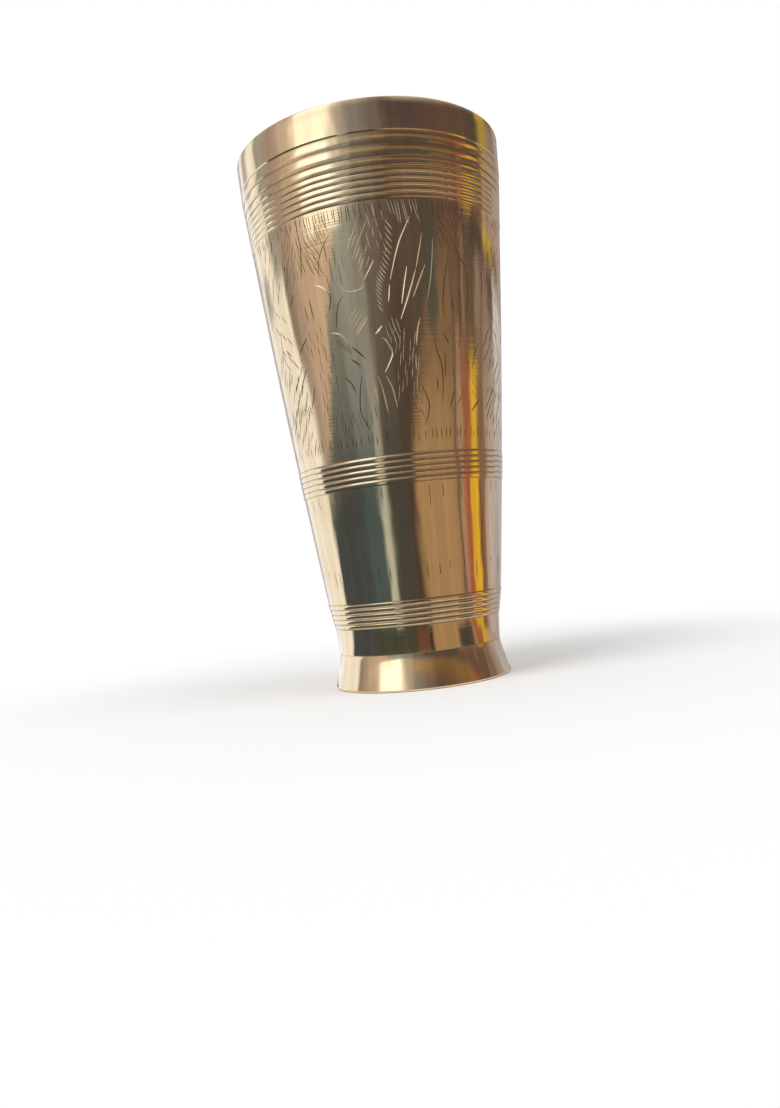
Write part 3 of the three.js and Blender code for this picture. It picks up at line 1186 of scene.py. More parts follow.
    def true_normals(self, tree: GeometryTree, surface: GeometryTree, mesh: Socket) -> Socket:
        """Give the plain wall between the strokes the normals of the uncut surface.

        Args:
            tree: The engraving tree.
            surface: The tree of the wall's surface.
            mesh: The cut wall.

        Returns:
            The same wall, with no dents in its gloss round the strokes.
        """
        given = tree.given
        x, y, height = tree.split(tree.position())
        in_field = tree.within(height, given["Hip Height"], given["Shoulder Height"])
        in_band = tree.within(height, given["Band Low"], given["Band High"])
        wall = tree.result("GeometryNodeMaterialSelection", {0: given["Wall Finish"]})
        plain = tree.maths("MULTIPLY", tree.maths("SUBTRACT", in_field, in_band), wall)
        mesh = tree.store(mesh, "plain", plain, "FACE")
        _, slope = self.surface_at(tree, surface, height)
        lean = tree.negative(tree.maths("MULTIPLY", slope, tree.length(tree.join(x, y, 0.0))))
        uncut = tree.vectors("NORMALIZE", tree.join(x, y, lean))
        own = tree.add("GeometryNodeInputNormal").outputs["Normal"]
        is_plain = tree.maths("GREATER_THAN", tree.attribute("plain"), FLAG)
        normals = {"Mesh": mesh, "Custom Normal": tree.mix(MixKind.VECTOR, is_plain, own, uncut)}
        return tree.result("GeometryNodeSetMeshNormal", normals, mode="FREE", domain="CORNER")

    def cut(
        self, wall: "Wall", turned: bpy.types.Mesh, lathe: Lathe, finishes: "Finishes"
    ) -> bpy.types.Mesh:
        """Cut the strokes into the turned wall.

        Args:
            wall: The wall, for its sizes.
            turned: The turned wall.
            lathe: The lathe, for its rule on which edges are sharp.
            finishes: The finishes of the wall and of the cuts.

        Returns:
            The engraved wall as a plain mesh.
        """
        strokes = put("engraving_layout", self.layout())
        sizes = {
            "Step": self.step, "Layout Radius": self.layout_radius, "Width": self.width,
            "Depth": self.depth, "Proud": self.proud, "Stray": self.stray,
            "Hip Height": wall.lower_ribs.top, "Hip Radius": wall.hip_radius,
            "Shoulder Height": wall.upper_ribs.lowest, "Shoulder Radius": wall.shoulder_radius,
            "Belly": wall.belly,
            "Band Low": wall.middle_ribs.lowest, "Band High": wall.middle_ribs.top,
        }
        values = {
            "Strokes": strokes, "Panels": self.panels, "Seed": self.seed,
            "Wall Finish": finishes.polished, "Cut Finish": finishes.cut,
            **{label: size * MM for label, size in sizes.items()},
        }
        mesh = self.make_tree(lathe).run(wall.name, turned, values)
        bpy.data.objects.remove(strokes)
        return mesh


@dataclass(frozen=True)
class Finishes:
    """The materials of the tumbler, made once."""

    polished: bpy.types.Material = field(default_factory=POLISHED.material)
    foot: bpy.types.Material = field(default_factory=SOFT_POLISHED.material)
    cut: bpy.types.Material = field(default_factory=FRESH_CUT.material)
    bore: bpy.types.Material = field(default_factory=SATIN_BORE.material)
    floor: bpy.types.Material = field(default_factory=FACED_FLOOR.material)
    filler: bpy.types.Material = field(default_factory=COOLED_FILLER.material)


def steps_between(low: float, high: float, pitch: float) -> list[float]:
    """Return even heights between two heights, both ends left out."""
    count = max(1, round((high - low) / pitch))
    return [low + (high - low) * i / count for i in range(1, count)]


def rounded(
    radius: float, height: float, size: float, start: float, end: float, steps: int
) -> list[FlatPoint]:
    """Return the points of a round.

    Args:
        radius: Radius of the round's centre, from the axis.
        height: Height of the round's centre.
        size: Radius of the round itself.
        start: First angle, in degrees from outward towards up.
        end: Last angle.
        steps: Number of facets.

    Returns:
        Radius and height of each point.
    """
    angles = [math.radians(start + (end - start) * i / steps) for i in range(steps + 1)]
    return [(radius + size * math.cos(angle), height + size * math.sin(angle)) for angle in angles]


def highest(node: str) -> float:
    """Return the top of a CAD node, in millimetres."""
    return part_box(node)[1].z / MM


def lowest(node: str) -> float:
    """Return the underside of a CAD node, in millimetres."""
    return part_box(node)[0].z / MM


def widest(node: str) -> float:
    """Return the largest radius of a CAD node, in millimetres."""
    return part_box(node)[1].x / MM


def place_piece(mesh: bpy.types.Mesh, node: str, slot: Slot) -> None:
    """Put a finished mesh in the scene in place of a CAD node.

    Args:
        mesh: The mesh, with its place in it.
        node: The CAD node that it stands for.
        slot: The record's material slot; not used.
    """
    piece = put(mesh.name, mesh)
    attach(piece, BODY)
    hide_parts(node)
    LOG.info("%s: %d faces, stands for %s", piece.name, len(mesh.polygons), node)


@dataclass
class Wall:
    """The tapered wall with its ribs and its engraving, in millimetres, radii on the outside.

    Attributes:
        name: Name of the piece.
        node: The CAD node that it stands for.
        collar_radius: Radius at the turned line.
        shoulder_radius: Radius under the upper ribs.
        belly: Swell of the taper between hip and shoulder.
        hip_radius: Radius above the lower ribs.
        neck_radius: Radius under the lower ribs.
        seam_radius: Radius at the seam with the foot.
        thickness: Thickness of the wall.
        lip_round: Radius of the two rounds of the lip.
        line_height: Height of the turned line under the plain mouth band.
        line_width: Width of that line.
        line_depth: Depth of that line.
        plain_pitch: Height of a row where the outside is plain.
        bore_pitch: Height of a row down the bore.
        rib_edge: Height of the plain row beside a rib band.
        least_step: Least height between two rows.
        round_steps: Facets of a round.
        lower_ribs: Ribs above the foot.
        middle_ribs: Ribs below the middle.
        upper_ribs: Ribs above the engraving.
        bead: The bead above them.
        rolls: The two soft rolls above the bead.
    """

    name: str = "engraved_wall"
    node: str = "body_wall"
    collar_radius: float = 49.5
    shoulder_radius: float = 47.45
    belly: float = 0.6
    hip_radius: float = 33.15
    neck_radius: float = 31.35
    seam_radius: float = SEAM_RADIUS
    thickness: float = WALL_THICKNESS
    lip_round: float = 0.5
    line_height: float = 188.85
    line_width: float = 0.6
    line_depth: float = 0.25
    plain_pitch: float = 3.4
    bore_pitch: float = 6.8
    rib_edge: float = 0.25
    least_step: float = 0.01
    round_steps: int = 5
    lower_ribs: RibBand = RibBand(22.6, 5, 1.85, 0.24)
    middle_ribs: RibBand = RibBand(72.35, 5, 1.97, 0.24)
    upper_ribs: RibBand = RibBand(166.8, 5, 2.15, 0.14, 8, 0.4)
    bead: RibBand = RibBand(177.55, 1, 3.0, 0.13, 10)
    rolls: RibBand = RibBand(180.55, 2, 4.0, 0.13, 10)

    def __post_init__(self) -> None:
        """Take the wall's ends from its CAD node."""
        self.foot_height = lowest(self.node)
        self.lip_height = highest(self.node)
        self.mouth_radius = widest(self.node)

    @property
    def bands(self) -> tuple[RibBand, ...]:
        """All rib bands, from the lowest."""
        return self.lower_ribs, self.middle_ribs, self.upper_ribs, self.bead, self.rolls

    def radius(self, height: float) -> float:
        """Find the outer radius of the plain taper.

        Args:
            height: The height.

        Returns:
            The radius, without ribs.
        """
        stations = (
            (self.foot_height, self.seam_radius),
            (self.lower_ribs.lowest, self.neck_radius),
            (self.lower_ribs.top, self.hip_radius),
            (self.upper_ribs.lowest, self.shoulder_radius),
            (self.line_height, self.collar_radius),
            (self.lip_height, self.mouth_radius),
        )
        for (low, narrow), (high, wide) in zip(stations, stations[1:]):
            if height <= high:
                break
        up = (height - low) / (high - low)
        swell = PEAK * self.belly * up * (1 - up) if high == self.upper_ribs.lowest else 0.0
        return narrow + (wide - narrow) * up + swell

    def outside_heights(self) -> list[float]:
        """List the heights of the outer rows.

        Returns:
            The heights from the seam to the turned line.
        """
        edges = {height for band in self.bands for height in band.heights()}
        for band in self.bands:
            edges |= {band.lowest - self.rib_edge, band.top + self.rib_edge}
        heights = [self.foot_height]
        for height in sorted(edges):
            if heights[-1] + self.least_step < height <= self.rolls.top:
                heights += [*steps_between(heights[-1], height, self.plain_pitch), height]
        return heights

    def outline(self) -> list[Row]:
        """List the rows of the outline.

        Returns:
            The rows up the outside, over the lip and down the bore.
        """
        line_top = self.line_height + self.line_width / 2
        lip = self.lip_height - self.lip_round
        rows = [Row(self.radius(height), height) for height in self.outside_heights()]
        rows.append(Row(self.radius(self.line_height) - self.line_depth, self.line_height))
        rows.append(Row(self.radius(line_top), line_top))
        mouth_band = steps_between(line_top, lip, self.plain_pitch)
        rows += [Row(self.radius(height), height) for height in mouth_band]
        outer = self.mouth_radius - self.lip_round
        inner = self.mouth_radius - self.thickness + self.lip_round
        outer_round = rounded(outer, lip, self.lip_round, 0, 90, self.round_steps)
        inner_round = rounded(inner, lip, self.lip_round, 90, 180, self.round_steps)
        rows += [Row(*point) for point in outer_round]
        rows += [Row(*point, False) for point in inner_round]
        bore = [self.foot_height, *steps_between(self.foot_height, lip, self.bore_pitch)]
        rows += [Row(self.radius(height) - self.thickness, height, False) for height in reversed(bore)]
        return rows

    def build(self, lathe: Lathe, engraving: Engraving, finishes: Finishes) -> None:
        """Turn the wall, engrave it and put it in the scene.

        Args:
            lathe: The lathe.
            engraving: The strokes that are cut into it.
            finishes: The finishes of its outside, its bore and the cuts.
        """
        turned = lathe.turn("turned_wall", self.outline(), finishes.polished, finishes.bore, self.bands)
        mesh = engraving.cut(self, turned, lathe, finishes)
        place_piece(mesh, self.node, Slot.POLISHED)


@dataclass
class Foot:
    """The flared foot ring with the spigot inside it, in millimetres.

    Attributes:
        name: Name of the piece.
        node: The CAD node that it stands for.
        thickness: Thickness of the skirt and of the spigot.
        edge_round: Radius of the round at the standing edge.
        flare_power: Power of the flare, 1 for a straight skirt.
        flare_steps: Rows up the flare.
        round_steps: Facets of the round.
        seam_radius: Radius at the seam with the wall.
        fit_gap: Clearance between the spigot's bore and the filler in it.
    """

    name: str = "flared_foot"
    node: str = "foot_ring"
    thickness: float = 1.7
    edge_round: float = 0.8
    flare_power: float = 1.2
    flare_steps: int = 14
    round_steps: int = 5
    seam_radius: float = SEAM_RADIUS
    fit_gap: float = 0.1

    def __post_init__(self) -> None:
        """Take the foot's heights and radii from the CAD nodes round it."""
        self.radius = widest(self.node)
        self.shoulder = lowest("seam_filler")
        self.spigot_top = highest(self.node)
        self.spigot_bore = widest("foot_filler") + self.fit_gap
        self.spigot_radius = self.spigot_bore + self.thickness

    def flare(self, narrow: float, wide: float, low: float) -> list[FlatPoint]:
        """Draw a flared curve up to the shoulder.

        Args:
            narrow: Radius at the shoulder.
            wide: Radius at the lower end.
            low: Height of the lower end.

        Returns:
            Radius and height of each point, from the lower end.
        """
        points = []
        for i in range(self.flare_steps + 1):
            up = i / self.flare_steps
            radius = narrow + (wide - narrow) * (1 - up) ** self.flare_power
            points.append((radius, low + (self.shoulder - low) * up))
        return points

    def outline(self) -> list[Row]:
        """List the rows of the outline.

        Returns:
            The rows up the skirt, over the spigot and down the inside.
        """
        edge = self.edge_round
        standing_round = rounded(self.radius - edge, edge, edge, -90, 0, self.round_steps)
        rows = [Row(*point) for point in standing_round]
        rows += [Row(*point) for point in self.flare(self.seam_radius, self.radius, edge)[1:]]
        rows.append(Row(self.spigot_radius, self.shoulder))
        rows.append(Row(self.spigot_radius, self.spigot_top, False))
        rows.append(Row(self.spigot_bore, self.spigot_top, False))
        inside = self.flare(self.spigot_bore, self.radius - self.thickness, 0.0)
        rows += [Row(*point, False) for point in reversed(inside)]
        return rows

    def build(self, lathe: Lathe, finishes: Finishes) -> None:
        """Turn the foot and put it in the scene."""
        mesh = lathe.turn(self.name, self.outline(), finishes.foot, finishes.bore)
        place_piece(mesh, self.node, Slot.POLISHED)


@dataclass
class CupFloor:
    """The dished floor of the cup, faced on the lathe, in millimetres.

    Attributes:
        name: Name of the piece.
        node: The CAD node that it stands for.
        dish: Depth of the dish.
        thickness: Thickness of the disc.
        flat_rim: Width of the flat ring between the dish and the filler.
        filler_leg: Width of the filler under the floor.
        tool_rings: Number of rings that the facing tool leaves.
        ring_depth: Depth of those rings.
        steps_per_ring: Rows across one ring.
    """

    name: str = "faced_floor"
    node: str = "floor_disc"
    dish: float = 0.8
    thickness: float = 1.6
    flat_rim: float = 1.8
    filler_leg: float = 1.3
    tool_rings: int = 16
    ring_depth: float = 0.06
    steps_per_ring: int = 4

    def __post_init__(self) -> None:
        """Take the floor's place from its CAD node."""
        self.radius = widest(self.node)
        self.top = highest(self.node)
        self.dish_radius = widest("foot_filler") - self.filler_leg - self.flat_rim

    def dish_line(self, rim: float, ring_depth: float) -> list[FlatPoint]:
        """Return a dished line from the axis out to the flat rim.

        Args:
            rim: Height of the flat rim.
            ring_depth: Depth of the rings that the facing tool leaves.

        Returns:
            Radius and height of each point.
        """
        count = self.tool_rings * self.steps_per_ring
        points = []
        for i in range(count + 1):
            share = i / count
            ring = ring_depth * abs(math.sin(math.pi * share * self.tool_rings))
            height = rim - self.dish * (1 - share**2) - ring
            points.append((self.dish_radius * share, height))
        return points

    def outline(self) -> list[Row]:
        """List the rows of the outline.

        Returns:
            The rows along the underside, up the rim and back along the top.
        """
        under = self.top - self.thickness
        rows = [Row(*point) for point in self.dish_line(under, 0.0)]
        rows += [Row(self.radius, under), Row(self.radius, self.top)]
        rows += [Row(*point) for point in reversed(self.dish_line(self.top, self.ring_depth))]
        return rows

    def build(self, lathe: Lathe, finishes: Finishes) -> None:
        """Turn the floor and put it in the scene."""
        mesh = lathe.turn(self.name, self.outline(), finishes.floor, finishes.floor)
        place_piece(mesh, self.node, Slot.TURNED)


@dataclass
class Brazing:
    """The three runs of filler that join wall, foot and floor, in millimetres.

    Attributes:
        wall_bore: Radius of the wall's bore at the seam.
        round_steps: Facets of a fillet.
    """

    wall_bore: float = SEAM_RADIUS - WALL_THICKNESS
    round_steps: int = 8

    def seam(self) -> list[Row]:
        """Draw the flat washer between wall and foot.

        Returns:
            The rows of its outline.
        """
        node = "seam_filler"
        rim, low, high = widest(node), lowest(node), highest(node)
        return [Row(self.wall_bore, low), Row(rim, low), Row(rim, high), Row(self.wall_bore, high)]

    def floor_fillet(self) -> list[Row]:
        """Draw the fillet round the floor, inside the cup.

        Returns:
            The rows of its outline.
        """
        node = "floor_filler"
        rim, low, leg = widest(node), lowest(node), highest(node) - lowest(node)
        curve = rounded(rim - leg, low + leg, leg, 0, -90, self.round_steps)
        return [Row(rim, low), *(Row(*point) for point in curve)]

    def foot_fillet(self) -> list[Row]:
        """Draw the fillet under the floor, inside the foot.

        Returns:
            The rows of its outline.
        """
        node = "foot_filler"
        rim, high, leg = widest(node), highest(node), highest(node) - lowest(node)
        curve = rounded(rim - leg, high - leg, leg, 90, 0, self.round_steps)
        return [*(Row(*point) for point in curve), Row(rim, high)]

    def build(self, lathe: Lathe, finishes: Finishes) -> None:
        """Turn the three runs and put them in the scene.

        Args:
            lathe: The lathe.
            finishes: The finish of the filler.
        """
        runs = (
            ("seam_braze", "seam_filler", self.seam()),
            ("floor_braze", "floor_filler", self.floor_fillet()),
            ("foot_braze", "foot_filler", self.foot_fillet()),
        )
        for name, node, outline in runs:
            mesh = lathe.turn(name, outline, finishes.filler, finishes.filler)
            place_piece(mesh, node, Slot.FILLER)


def eased(value: float, start: float, end: float) -> float:
    """Return how far a value has gone from start to end, 0 to 1, with a soft start and end."""
    share = min(1.0, max(0.0, (value - start) / (end - start)))
    return share * share * (3 - 2 * share)


@dataclass(frozen=True)
class Band:
    """One upright band of a reflector tier, which ends where the next one starts.

    Attributes:
        start: Angle of its left edge at the tier's foot, in degrees from the front.
        low: Its colour at the tier's foot.
        high: Its colour at the tier's top, if another.
        lean: Degrees that its left edge moves to the right up to the tier's top.
        bend: Power of that move, 1 for a straight edge.
        softness: Degrees to each side over which its left edge fades.
        fade: Power of the change from the low colour to the high one.
        foot: Share of the tier's height from which the band shows.
    """

    start: float
    low: Colour
    high: Colour | None = None
    lean: float = 0.0
    bend: float = 1.0
    softness: float = 2.5
    fade: float = 1.0
    foot: float = -1.0

    # Share of the tier's height over which a band's foot fades in.
    FOOT_BLUR = 0.12

    def colour(self, up: float) -> Vector:
        """Return the colour a share of the way up the tier."""
        return Vector(self.low).lerp(Vector(self.high or self.low), up**self.fade)

    def cover(self, angle: float, up: float) -> float:
        """Say how far the band covers what lies to its left.

        Args:
            angle: Degrees from the front.
            up: Share of the way up the tier.

        Returns:
            The share that it covers, 0 to 1.
        """
        edge = self.start + self.lean * up**self.bend
        shown = eased(up, self.foot, self.foot + self.FOOT_BLUR)
        return shown * eased(angle, edge - self.softness, edge + self.softness)


# Colours of the reflectors, as linear light.
CREAM: Colour = (1.05, 1.10, 1.22)
PALE: Colour = (0.55, 0.54, 0.60)
SAND: Colour = (0.44, 0.38, 0.39)
GOLD: Colour = (0.64, 0.53, 0.49)
TEAL: Colour = (0.085, 0.10, 0.105)
UMBER: Colour = (0.12, 0.10, 0.105)
OCHRE: Colour = (0.44, 0.31, 0.20)
SIENNA: Colour = (0.18, 0.12, 0.10)
SLATE: Colour = (0.07, 0.09, 0.12)
GREY: Colour = (0.40, 0.42, 0.48)
MAUVE: Colour = (0.50, 0.44, 0.47)
LAVENDER: Colour = (0.44, 0.44, 0.52)
BRICK: Colour = (0.44, 0.14, 0.10)
CHESTNUT: Colour = (0.24, 0.17, 0.17)
LAMP_WHITE: Colour = (1.75, 1.78, 1.85)

# The floor close by.
NEAR_FLOOR_BANDS = (Band(-180, (0.64, 0.63, 0.62)),)

# The floor farther out, which the neck above the foot shows.
FLOOR_BANDS = (
    Band(-180, UMBER),
    Band(-170, PALE),
    Band(-152, CREAM),
    Band(-95, SLATE),
    Band(-54, (0.075, 0.085, 0.075)),
    Band(-2, (0.17, 0.085, 0.07), softness=1.5),
    Band(12, (0.05, 0.045, 0.045), softness=1),
    Band(17, OCHRE, softness=1),
    Band(49, (0.075, 0.075, 0.08), softness=1),
    Band(70, OCHRE, softness=1),
    Band(75, BRICK, softness=1.5),
    Band(86, (0.70, 0.50, 0.12), softness=1.5),
    Band(102, MAUVE),
    Band(129, LAVENDER),
    Band(148, PALE),
    Band(170, UMBER),
)

# The lower part of the ring, which the plain wall shows.
LOWER_BANDS = (
    Band(-180, UMBER),
    Band(-170, PALE),
    Band(-152, CREAM),
    Band(-89, SAND, None, -9, 3, 4),
    Band(-97, (0.26, 0.21, 0.20), softness=2, foot=0.6),
    Band(-92, SAND, softness=5, foot=0.6),
    Band(-78, GOLD, softness=8),
    Band(-95, SLATE, (0.33, 0.37, 0.40), 60),
    Band(-48, (0.08, 0.13, 0.17), (0.38, 0.44, 0.52), 10, softness=6, fade=0.7),
    Band(-26, (0.58, 0.66, 0.70), (0.26, 0.28, 0.32), 2, softness=2.5, fade=0.3),
    Band(-18, (0.08, 0.085, 0.095), (0.205, 0.185, 0.21), 6, softness=3),
    Band(2, (0.08, 0.065, 0.065), UMBER, softness=5),
    Band(13, OCHRE, SIENNA, 45, 1.3, 5, 1.2),
    Band(42, TEAL, softness=2, foot=0.54),
    Band(44, OCHRE, SIENNA, 11, softness=2, fade=1.2, foot=0.54),
    Band(62, (0.17, 0.11, 0.11), lean=5, softness=1.5),
    Band(66, (0.42, 0.31, 0.26), lean=6, softness=1.5),
    Band(72, BRICK, (0.28, 0.17, 0.13), 7, softness=1.5),
    Band(80, (0.78, 0.53, 0.07), lean=14, bend=1.5, softness=2),
    Band(70, SIENNA, foot=0.62),
    Band(75, (0.12, 0.085, 0.08), softness=1, foot=0.62),
    Band(78, (0.30, 0.23, 0.19), softness=1.5, foot=0.62),
    Band(83, (0.15, 0.11, 0.105), softness=1.5, foot=0.62),
    Band(94, (0.20, 0.095, 0.07), (0.34, 0.29, 0.27), 4, softness=1.5),
    Band(99, (0.29, 0.18, 0.15), CHESTNUT, 4, softness=2),
    Band(105, MAUVE, (0.26, 0.18, 0.19), 5, softness=2.5, fade=2),
    Band(113, (0.60, 0.56, 0.66), (0.13, 0.09, 0.09), 5, fade=3),
    Band(129, LAVENDER, (0.68, 0.70, 0.80)),
    Band(148, PALE),
    Band(170, UMBER),
)

# The upper part, which the ribs and the mouth band show.
UPPER_BANDS = (
    Band(-180, PALE),
    Band(-152, CREAM),
    Band(-142, PALE, softness=4),
    Band(-128, CREAM, softness=4),
    Band(-112, GREY, softness=4),
    Band(-98, SAND, softness=6),
    Band(-78, (0.72, 0.63, 0.62), softness=8),
    Band(-62, LAMP_WHITE, (1.35, 1.35, 1.38), softness=7),
    Band(-28, (0.54, 0.53, 0.57), softness=7),
    Band(-16, (0.26, 0.27, 0.32), softness=6),
    Band(0, (0.18, 0.16, 0.19), softness=7),
    Band(16, (0.10, 0.08, 0.095), softness=6),
    Band(50, (0.135, 0.095, 0.10), softness=5),
    Band(94, (0.10, 0.085, 0.09)),
    Band(112, CHESTNUT, (0.60, 0.46, 0.06)),
    Band(127, (0.45, 0.42, 0.46), (0.22, 0.17, 0.12)),
    Band(144, (0.42, 0.37, 0.36)),
)

# A narrow part between those two, which the foot shows.
FOOT_BANDS = (
    Band(-180, PALE),
    Band(-152, CREAM),
    Band(-112, GREY, softness=4),
    Band(-98, SAND, softness=6),
    Band(-78, (0.60, 0.50, 0.46), softness=8),
    Band(-62, LAMP_WHITE, softness=7),
    Band(-28, (0.54, 0.53, 0.50), softness=7),
    Band(-16, (0.46, 0.38, 0.23), softness=6),
    Band(0, (0.38, 0.27, 0.13), softness=7),
    Band(16, (0.32, 0.205, 0.10), (0.24, 0.15, 0.08), softness=6),
    Band(70, (0.42, 0.13, 0.08), lean=14, softness=2.5),
    Band(82, (0.74, 0.53, 0.09), lean=14, softness=2.5),
    Band(95, (0.26, 0.16, 0.13), lean=14),
    Band(110, (0.44, 0.36, 0.36), lean=6),
)

# The top of the ring, which the inside and the lip show.
CEILING_BANDS = (
    Band(-180, (0.82, 0.80, 0.78)),
    Band(-98, (0.46, 0.41, 0.40), softness=8),
    Band(-62, (1.8, 1.85, 2.0), softness=8),
    Band(-24, (0.66, 0.65, 0.66), softness=9),
    Band(0, (0.34, 0.31, 0.32), softness=9),
    Band(28, (0.70, 0.64, 0.61), softness=9),
    Band(96, (0.80, 0.79, 0.78), softness=10),
)


@dataclass(frozen=True)
class Tier:
    """One tier of the reflectors, laid out by the rise of the gaze from the wall.

    A rise is counted in metres up for each metre out.

    Attributes:
        start: Rise from which the tier shows alone.
        foot: Rise at which its bands have their low colours.
        top: Rise at which they have their high colours, and from which it passes into the next tier.
        bands: Its bands, from the back round to the back.
    """

    start: float
    foot: float
    top: float
    bands: Sequence[Band]

    def colour(self, angle: float, rise: float) -> Vector:
        """Return the tier's colour.

        Args:
            angle: Degrees from the front, from -180 to 180.
            rise: Rise of the gaze.

        Returns:
            The colour, softened across the bands' edges.
        """
        up = min(1.0, max(0.0, (rise - self.foot) / (self.top - self.foot)))
        first = self.bands[0]
        colour = first.colour(up)
        for band in self.bands[1:]:
            colour = colour.lerp(band.colour(up), band.cover(angle, up))
        closing = Band(180 - first.softness, first.low)
        return colour.lerp(closing.colour(up), closing.cover(angle, up))


TIERS = (
    Tier(-3.0, -3.0, -1.6, NEAR_FLOOR_BANDS),
    Tier(-1.27, -1.27, -0.86, FLOOR_BANDS),
    Tier(-0.80, -0.152, 0.21, LOWER_BANDS),
    Tier(0.235, 0.235, 0.26, UPPER_BANDS),
    Tier(0.285, 0.285, 0.36, FOOT_BANDS),
    Tier(0.395, 0.24, 0.54, UPPER_BANDS),
    Tier(0.74, 0.74, 2.1, CEILING_BANDS),
)


@dataclass(frozen=True)
class Surround:
    """A far ring of softly graded reflectors that only the metal's gloss sees.

    Attributes:
        radius: Radius of the ring, in metres.
        inner_radius: Where its skirt over the floor begins, in metres.
        lift: Height of the skirt over the floor, in metres.
        eye_height: Height on the wall that the gaze starts from, in metres.
        shade_radius: How far the foot's shade reaches over the skirt, in metres.
        shade: Brightness of the skirt at the foot.
        skirt_start: Where the skirt's finer rows begin, in metres.
        skirt_rows: Rows of points over the skirt from there on.
        step: Degrees between the columns of points.
        tier_rows: Rows of points up the ring to the foot of the last tier.
        top_rows: Rows of points from there to the ring's top.
    """

    radius: float = 4.0
    inner_radius: float = 0.034
    lift: float = 0.0004
    eye_height: float = 0.1
    shade_radius: float = 0.055
    shade: float = 0.3
    skirt_start: float = 0.08
    skirt_rows: int = 32
    step: float = 1.0
    tier_rows: int = 100
    top_rows: int = 16

    # Waves in a full turn, and the share of the brightness that each changes.
    STREAKS = ((17, 0.05), (41, 0.05), (89, 0.04))
    HIDDEN_FROM = ("camera", "diffuse", "transmission", "shadow", "volume_scatter")

    def colour(self, angle: float, rise: float) -> Vector:
        """Find the ring's colour, with faint upright streaks.

        Args:
            angle: Degrees from the front, from -180 to 180.
            rise: Rise of the gaze.

        Returns:
            The colour as linear light.
        """
        colour = TIERS[0].colour(angle, rise)
        for below, tier in zip(TIERS, TIERS[1:]):
            share = eased(rise, below.top, tier.start)
            if share:
                colour = colour.lerp(tier.colour(angle, rise), share)
        streak = sum(share * math.sin(math.radians(angle) * waves) for waves, share in self.STREAKS)
        return colour * (1 + streak)

    def line(self) -> list[tuple[float, float, float]]:
        """List the rows of points: out over the floor, then up the ring.

        Returns:
            Radius, height and brightness of each row.
        """
        growth = (self.radius / self.skirt_start) ** (1 / self.skirt_rows)
        skirt = [self.shade_radius, *(self.skirt_start * growth**i for i in range(self.skirt_rows + 1))]
        last, top = (self.radius * rise + self.eye_height for rise in (TIERS[-1].start, TIERS[-1].top))
        heights = [last * i / self.tier_rows for i in range(1, self.tier_rows + 1)]
        heights += [last + (top - last) * i / self.top_rows for i in range(1, self.top_rows + 1)]
        return [
            (self.inner_radius, self.lift, self.shade),
            *((radius, self.lift, 1.0) for radius in skirt),
            *((self.radius, height, 1.0) for height in heights),
        ]

    def material(self) -> bpy.types.Material:
        """Make the material of the ring.

        Returns:
            A material that glows in the colours stored on the mesh.
        """
        material = bpy.data.materials.new("reflector_ring")
        graph = empty_graph(material)
        stored = graph.add("ShaderNodeAttribute", attribute_name="glow").outputs["Color"]
        glow = graph.result("ShaderNodeEmission", {"Color": stored, "Strength": 1.0})
        graph.add("ShaderNodeOutputMaterial", {"Surface": glow})
        material.cycles.emission_sampling = "NONE"
        return material

    def build(self) -> None:
        """Stand the ring round the object."""
        columns = round(360 / self.step)
        line = self.line()
        points = []
        colours: list[float] = []
        for radius, height, brightness in line:
            rise = (height - self.eye_height) / radius
            for i in range(columns):
                degrees = i * self.step - 180
                angle = math.radians(degrees)
                points.append(Vector((radius * math.sin(angle), -radius * math.cos(angle), height)))
                colours += [*(self.colour(degrees, rise) * brightness), 1.0]
        faces = [
            (row * columns + i, row * columns + (i + 1) % columns,
             (row + 1) * columns + (i + 1) % columns, (row + 1) * columns + i)
            for row in range(len(line) - 1)
            for i in range(columns)
        ]
        ring = stage_mesh("reflector_ring", points, faces, self.material())
        ring.data.color_attributes.new("glow", "FLOAT_COLOR", "POINT").data.foreach_set("color", colours)
        for ray in self.HIDDEN_FROM:
            setattr(ring, f"visible_{ray}", False)


def empty_graph(owner: bpy.types.Material | bpy.types.World) -> Graph:
    """Empty the nodes of a material or a world.

    Args:
        owner: The material or the world.

    Returns:
        Its empty node tree.
    """
    owner.use_nodes = True
    owner.node_tree.nodes.clear()
    return Graph(owner.node_tree)


def stage_mesh(
    name: str, points: Sequence[Vector], faces: Sequence[Sequence[int]], material: bpy.types.Material
) -> bpy.types.Object:
    """Put a mesh on the stage, which is no part of the object.

    Args:
        name: Name of the mesh and its object.
        points: Its points.
        faces: Its faces, as places in the list of points.
        material: Its material.

    Returns:
        The new object.
    """
    mesh = bpy.data.meshes.new(name)
    mesh.from_pydata(points, [], faces)
    mesh.materials.append(material)
    thing = put(name, mesh)
    return thing


@dataclass(frozen=True)
class Lamp:
    """One soft round lamp that leaves no glint on the metal.

    Attributes:
        name: Name of the lamp.
        place: Where it hangs, in metres.
        size: Its diameter, in metres.
        power: Its power, in watts.
    """

    name: str
    place: tuple[float, float, float]
    size: float
    power: float

    def hang(self, target: Vector) -> None:
        """Hang the lamp so that it faces a target.

        Args:
            target: The place that it faces.
        """
        light = bpy.data.lights.new(self.name, "AREA")
        light.shape = "DISK"
        light.size = self.size
        light.energy = self.power
        place = Vector(self.place)
        turn = (target - place).to_track_quat("-Z", "Y").to_matrix().to_4x4()
        lamp = put(self.name, light)
        lamp.matrix_world = Matrix.Translation(place) @ turn
        lamp.visible_glossy = False


LAMPS = (
    Lamp("key_lamp", (-0.9, -0.7, 1.5), 1.0, 14.0),
    Lamp("fill_lamp", (1.1, -0.5, 1.2), 1.2, 6.0),
)


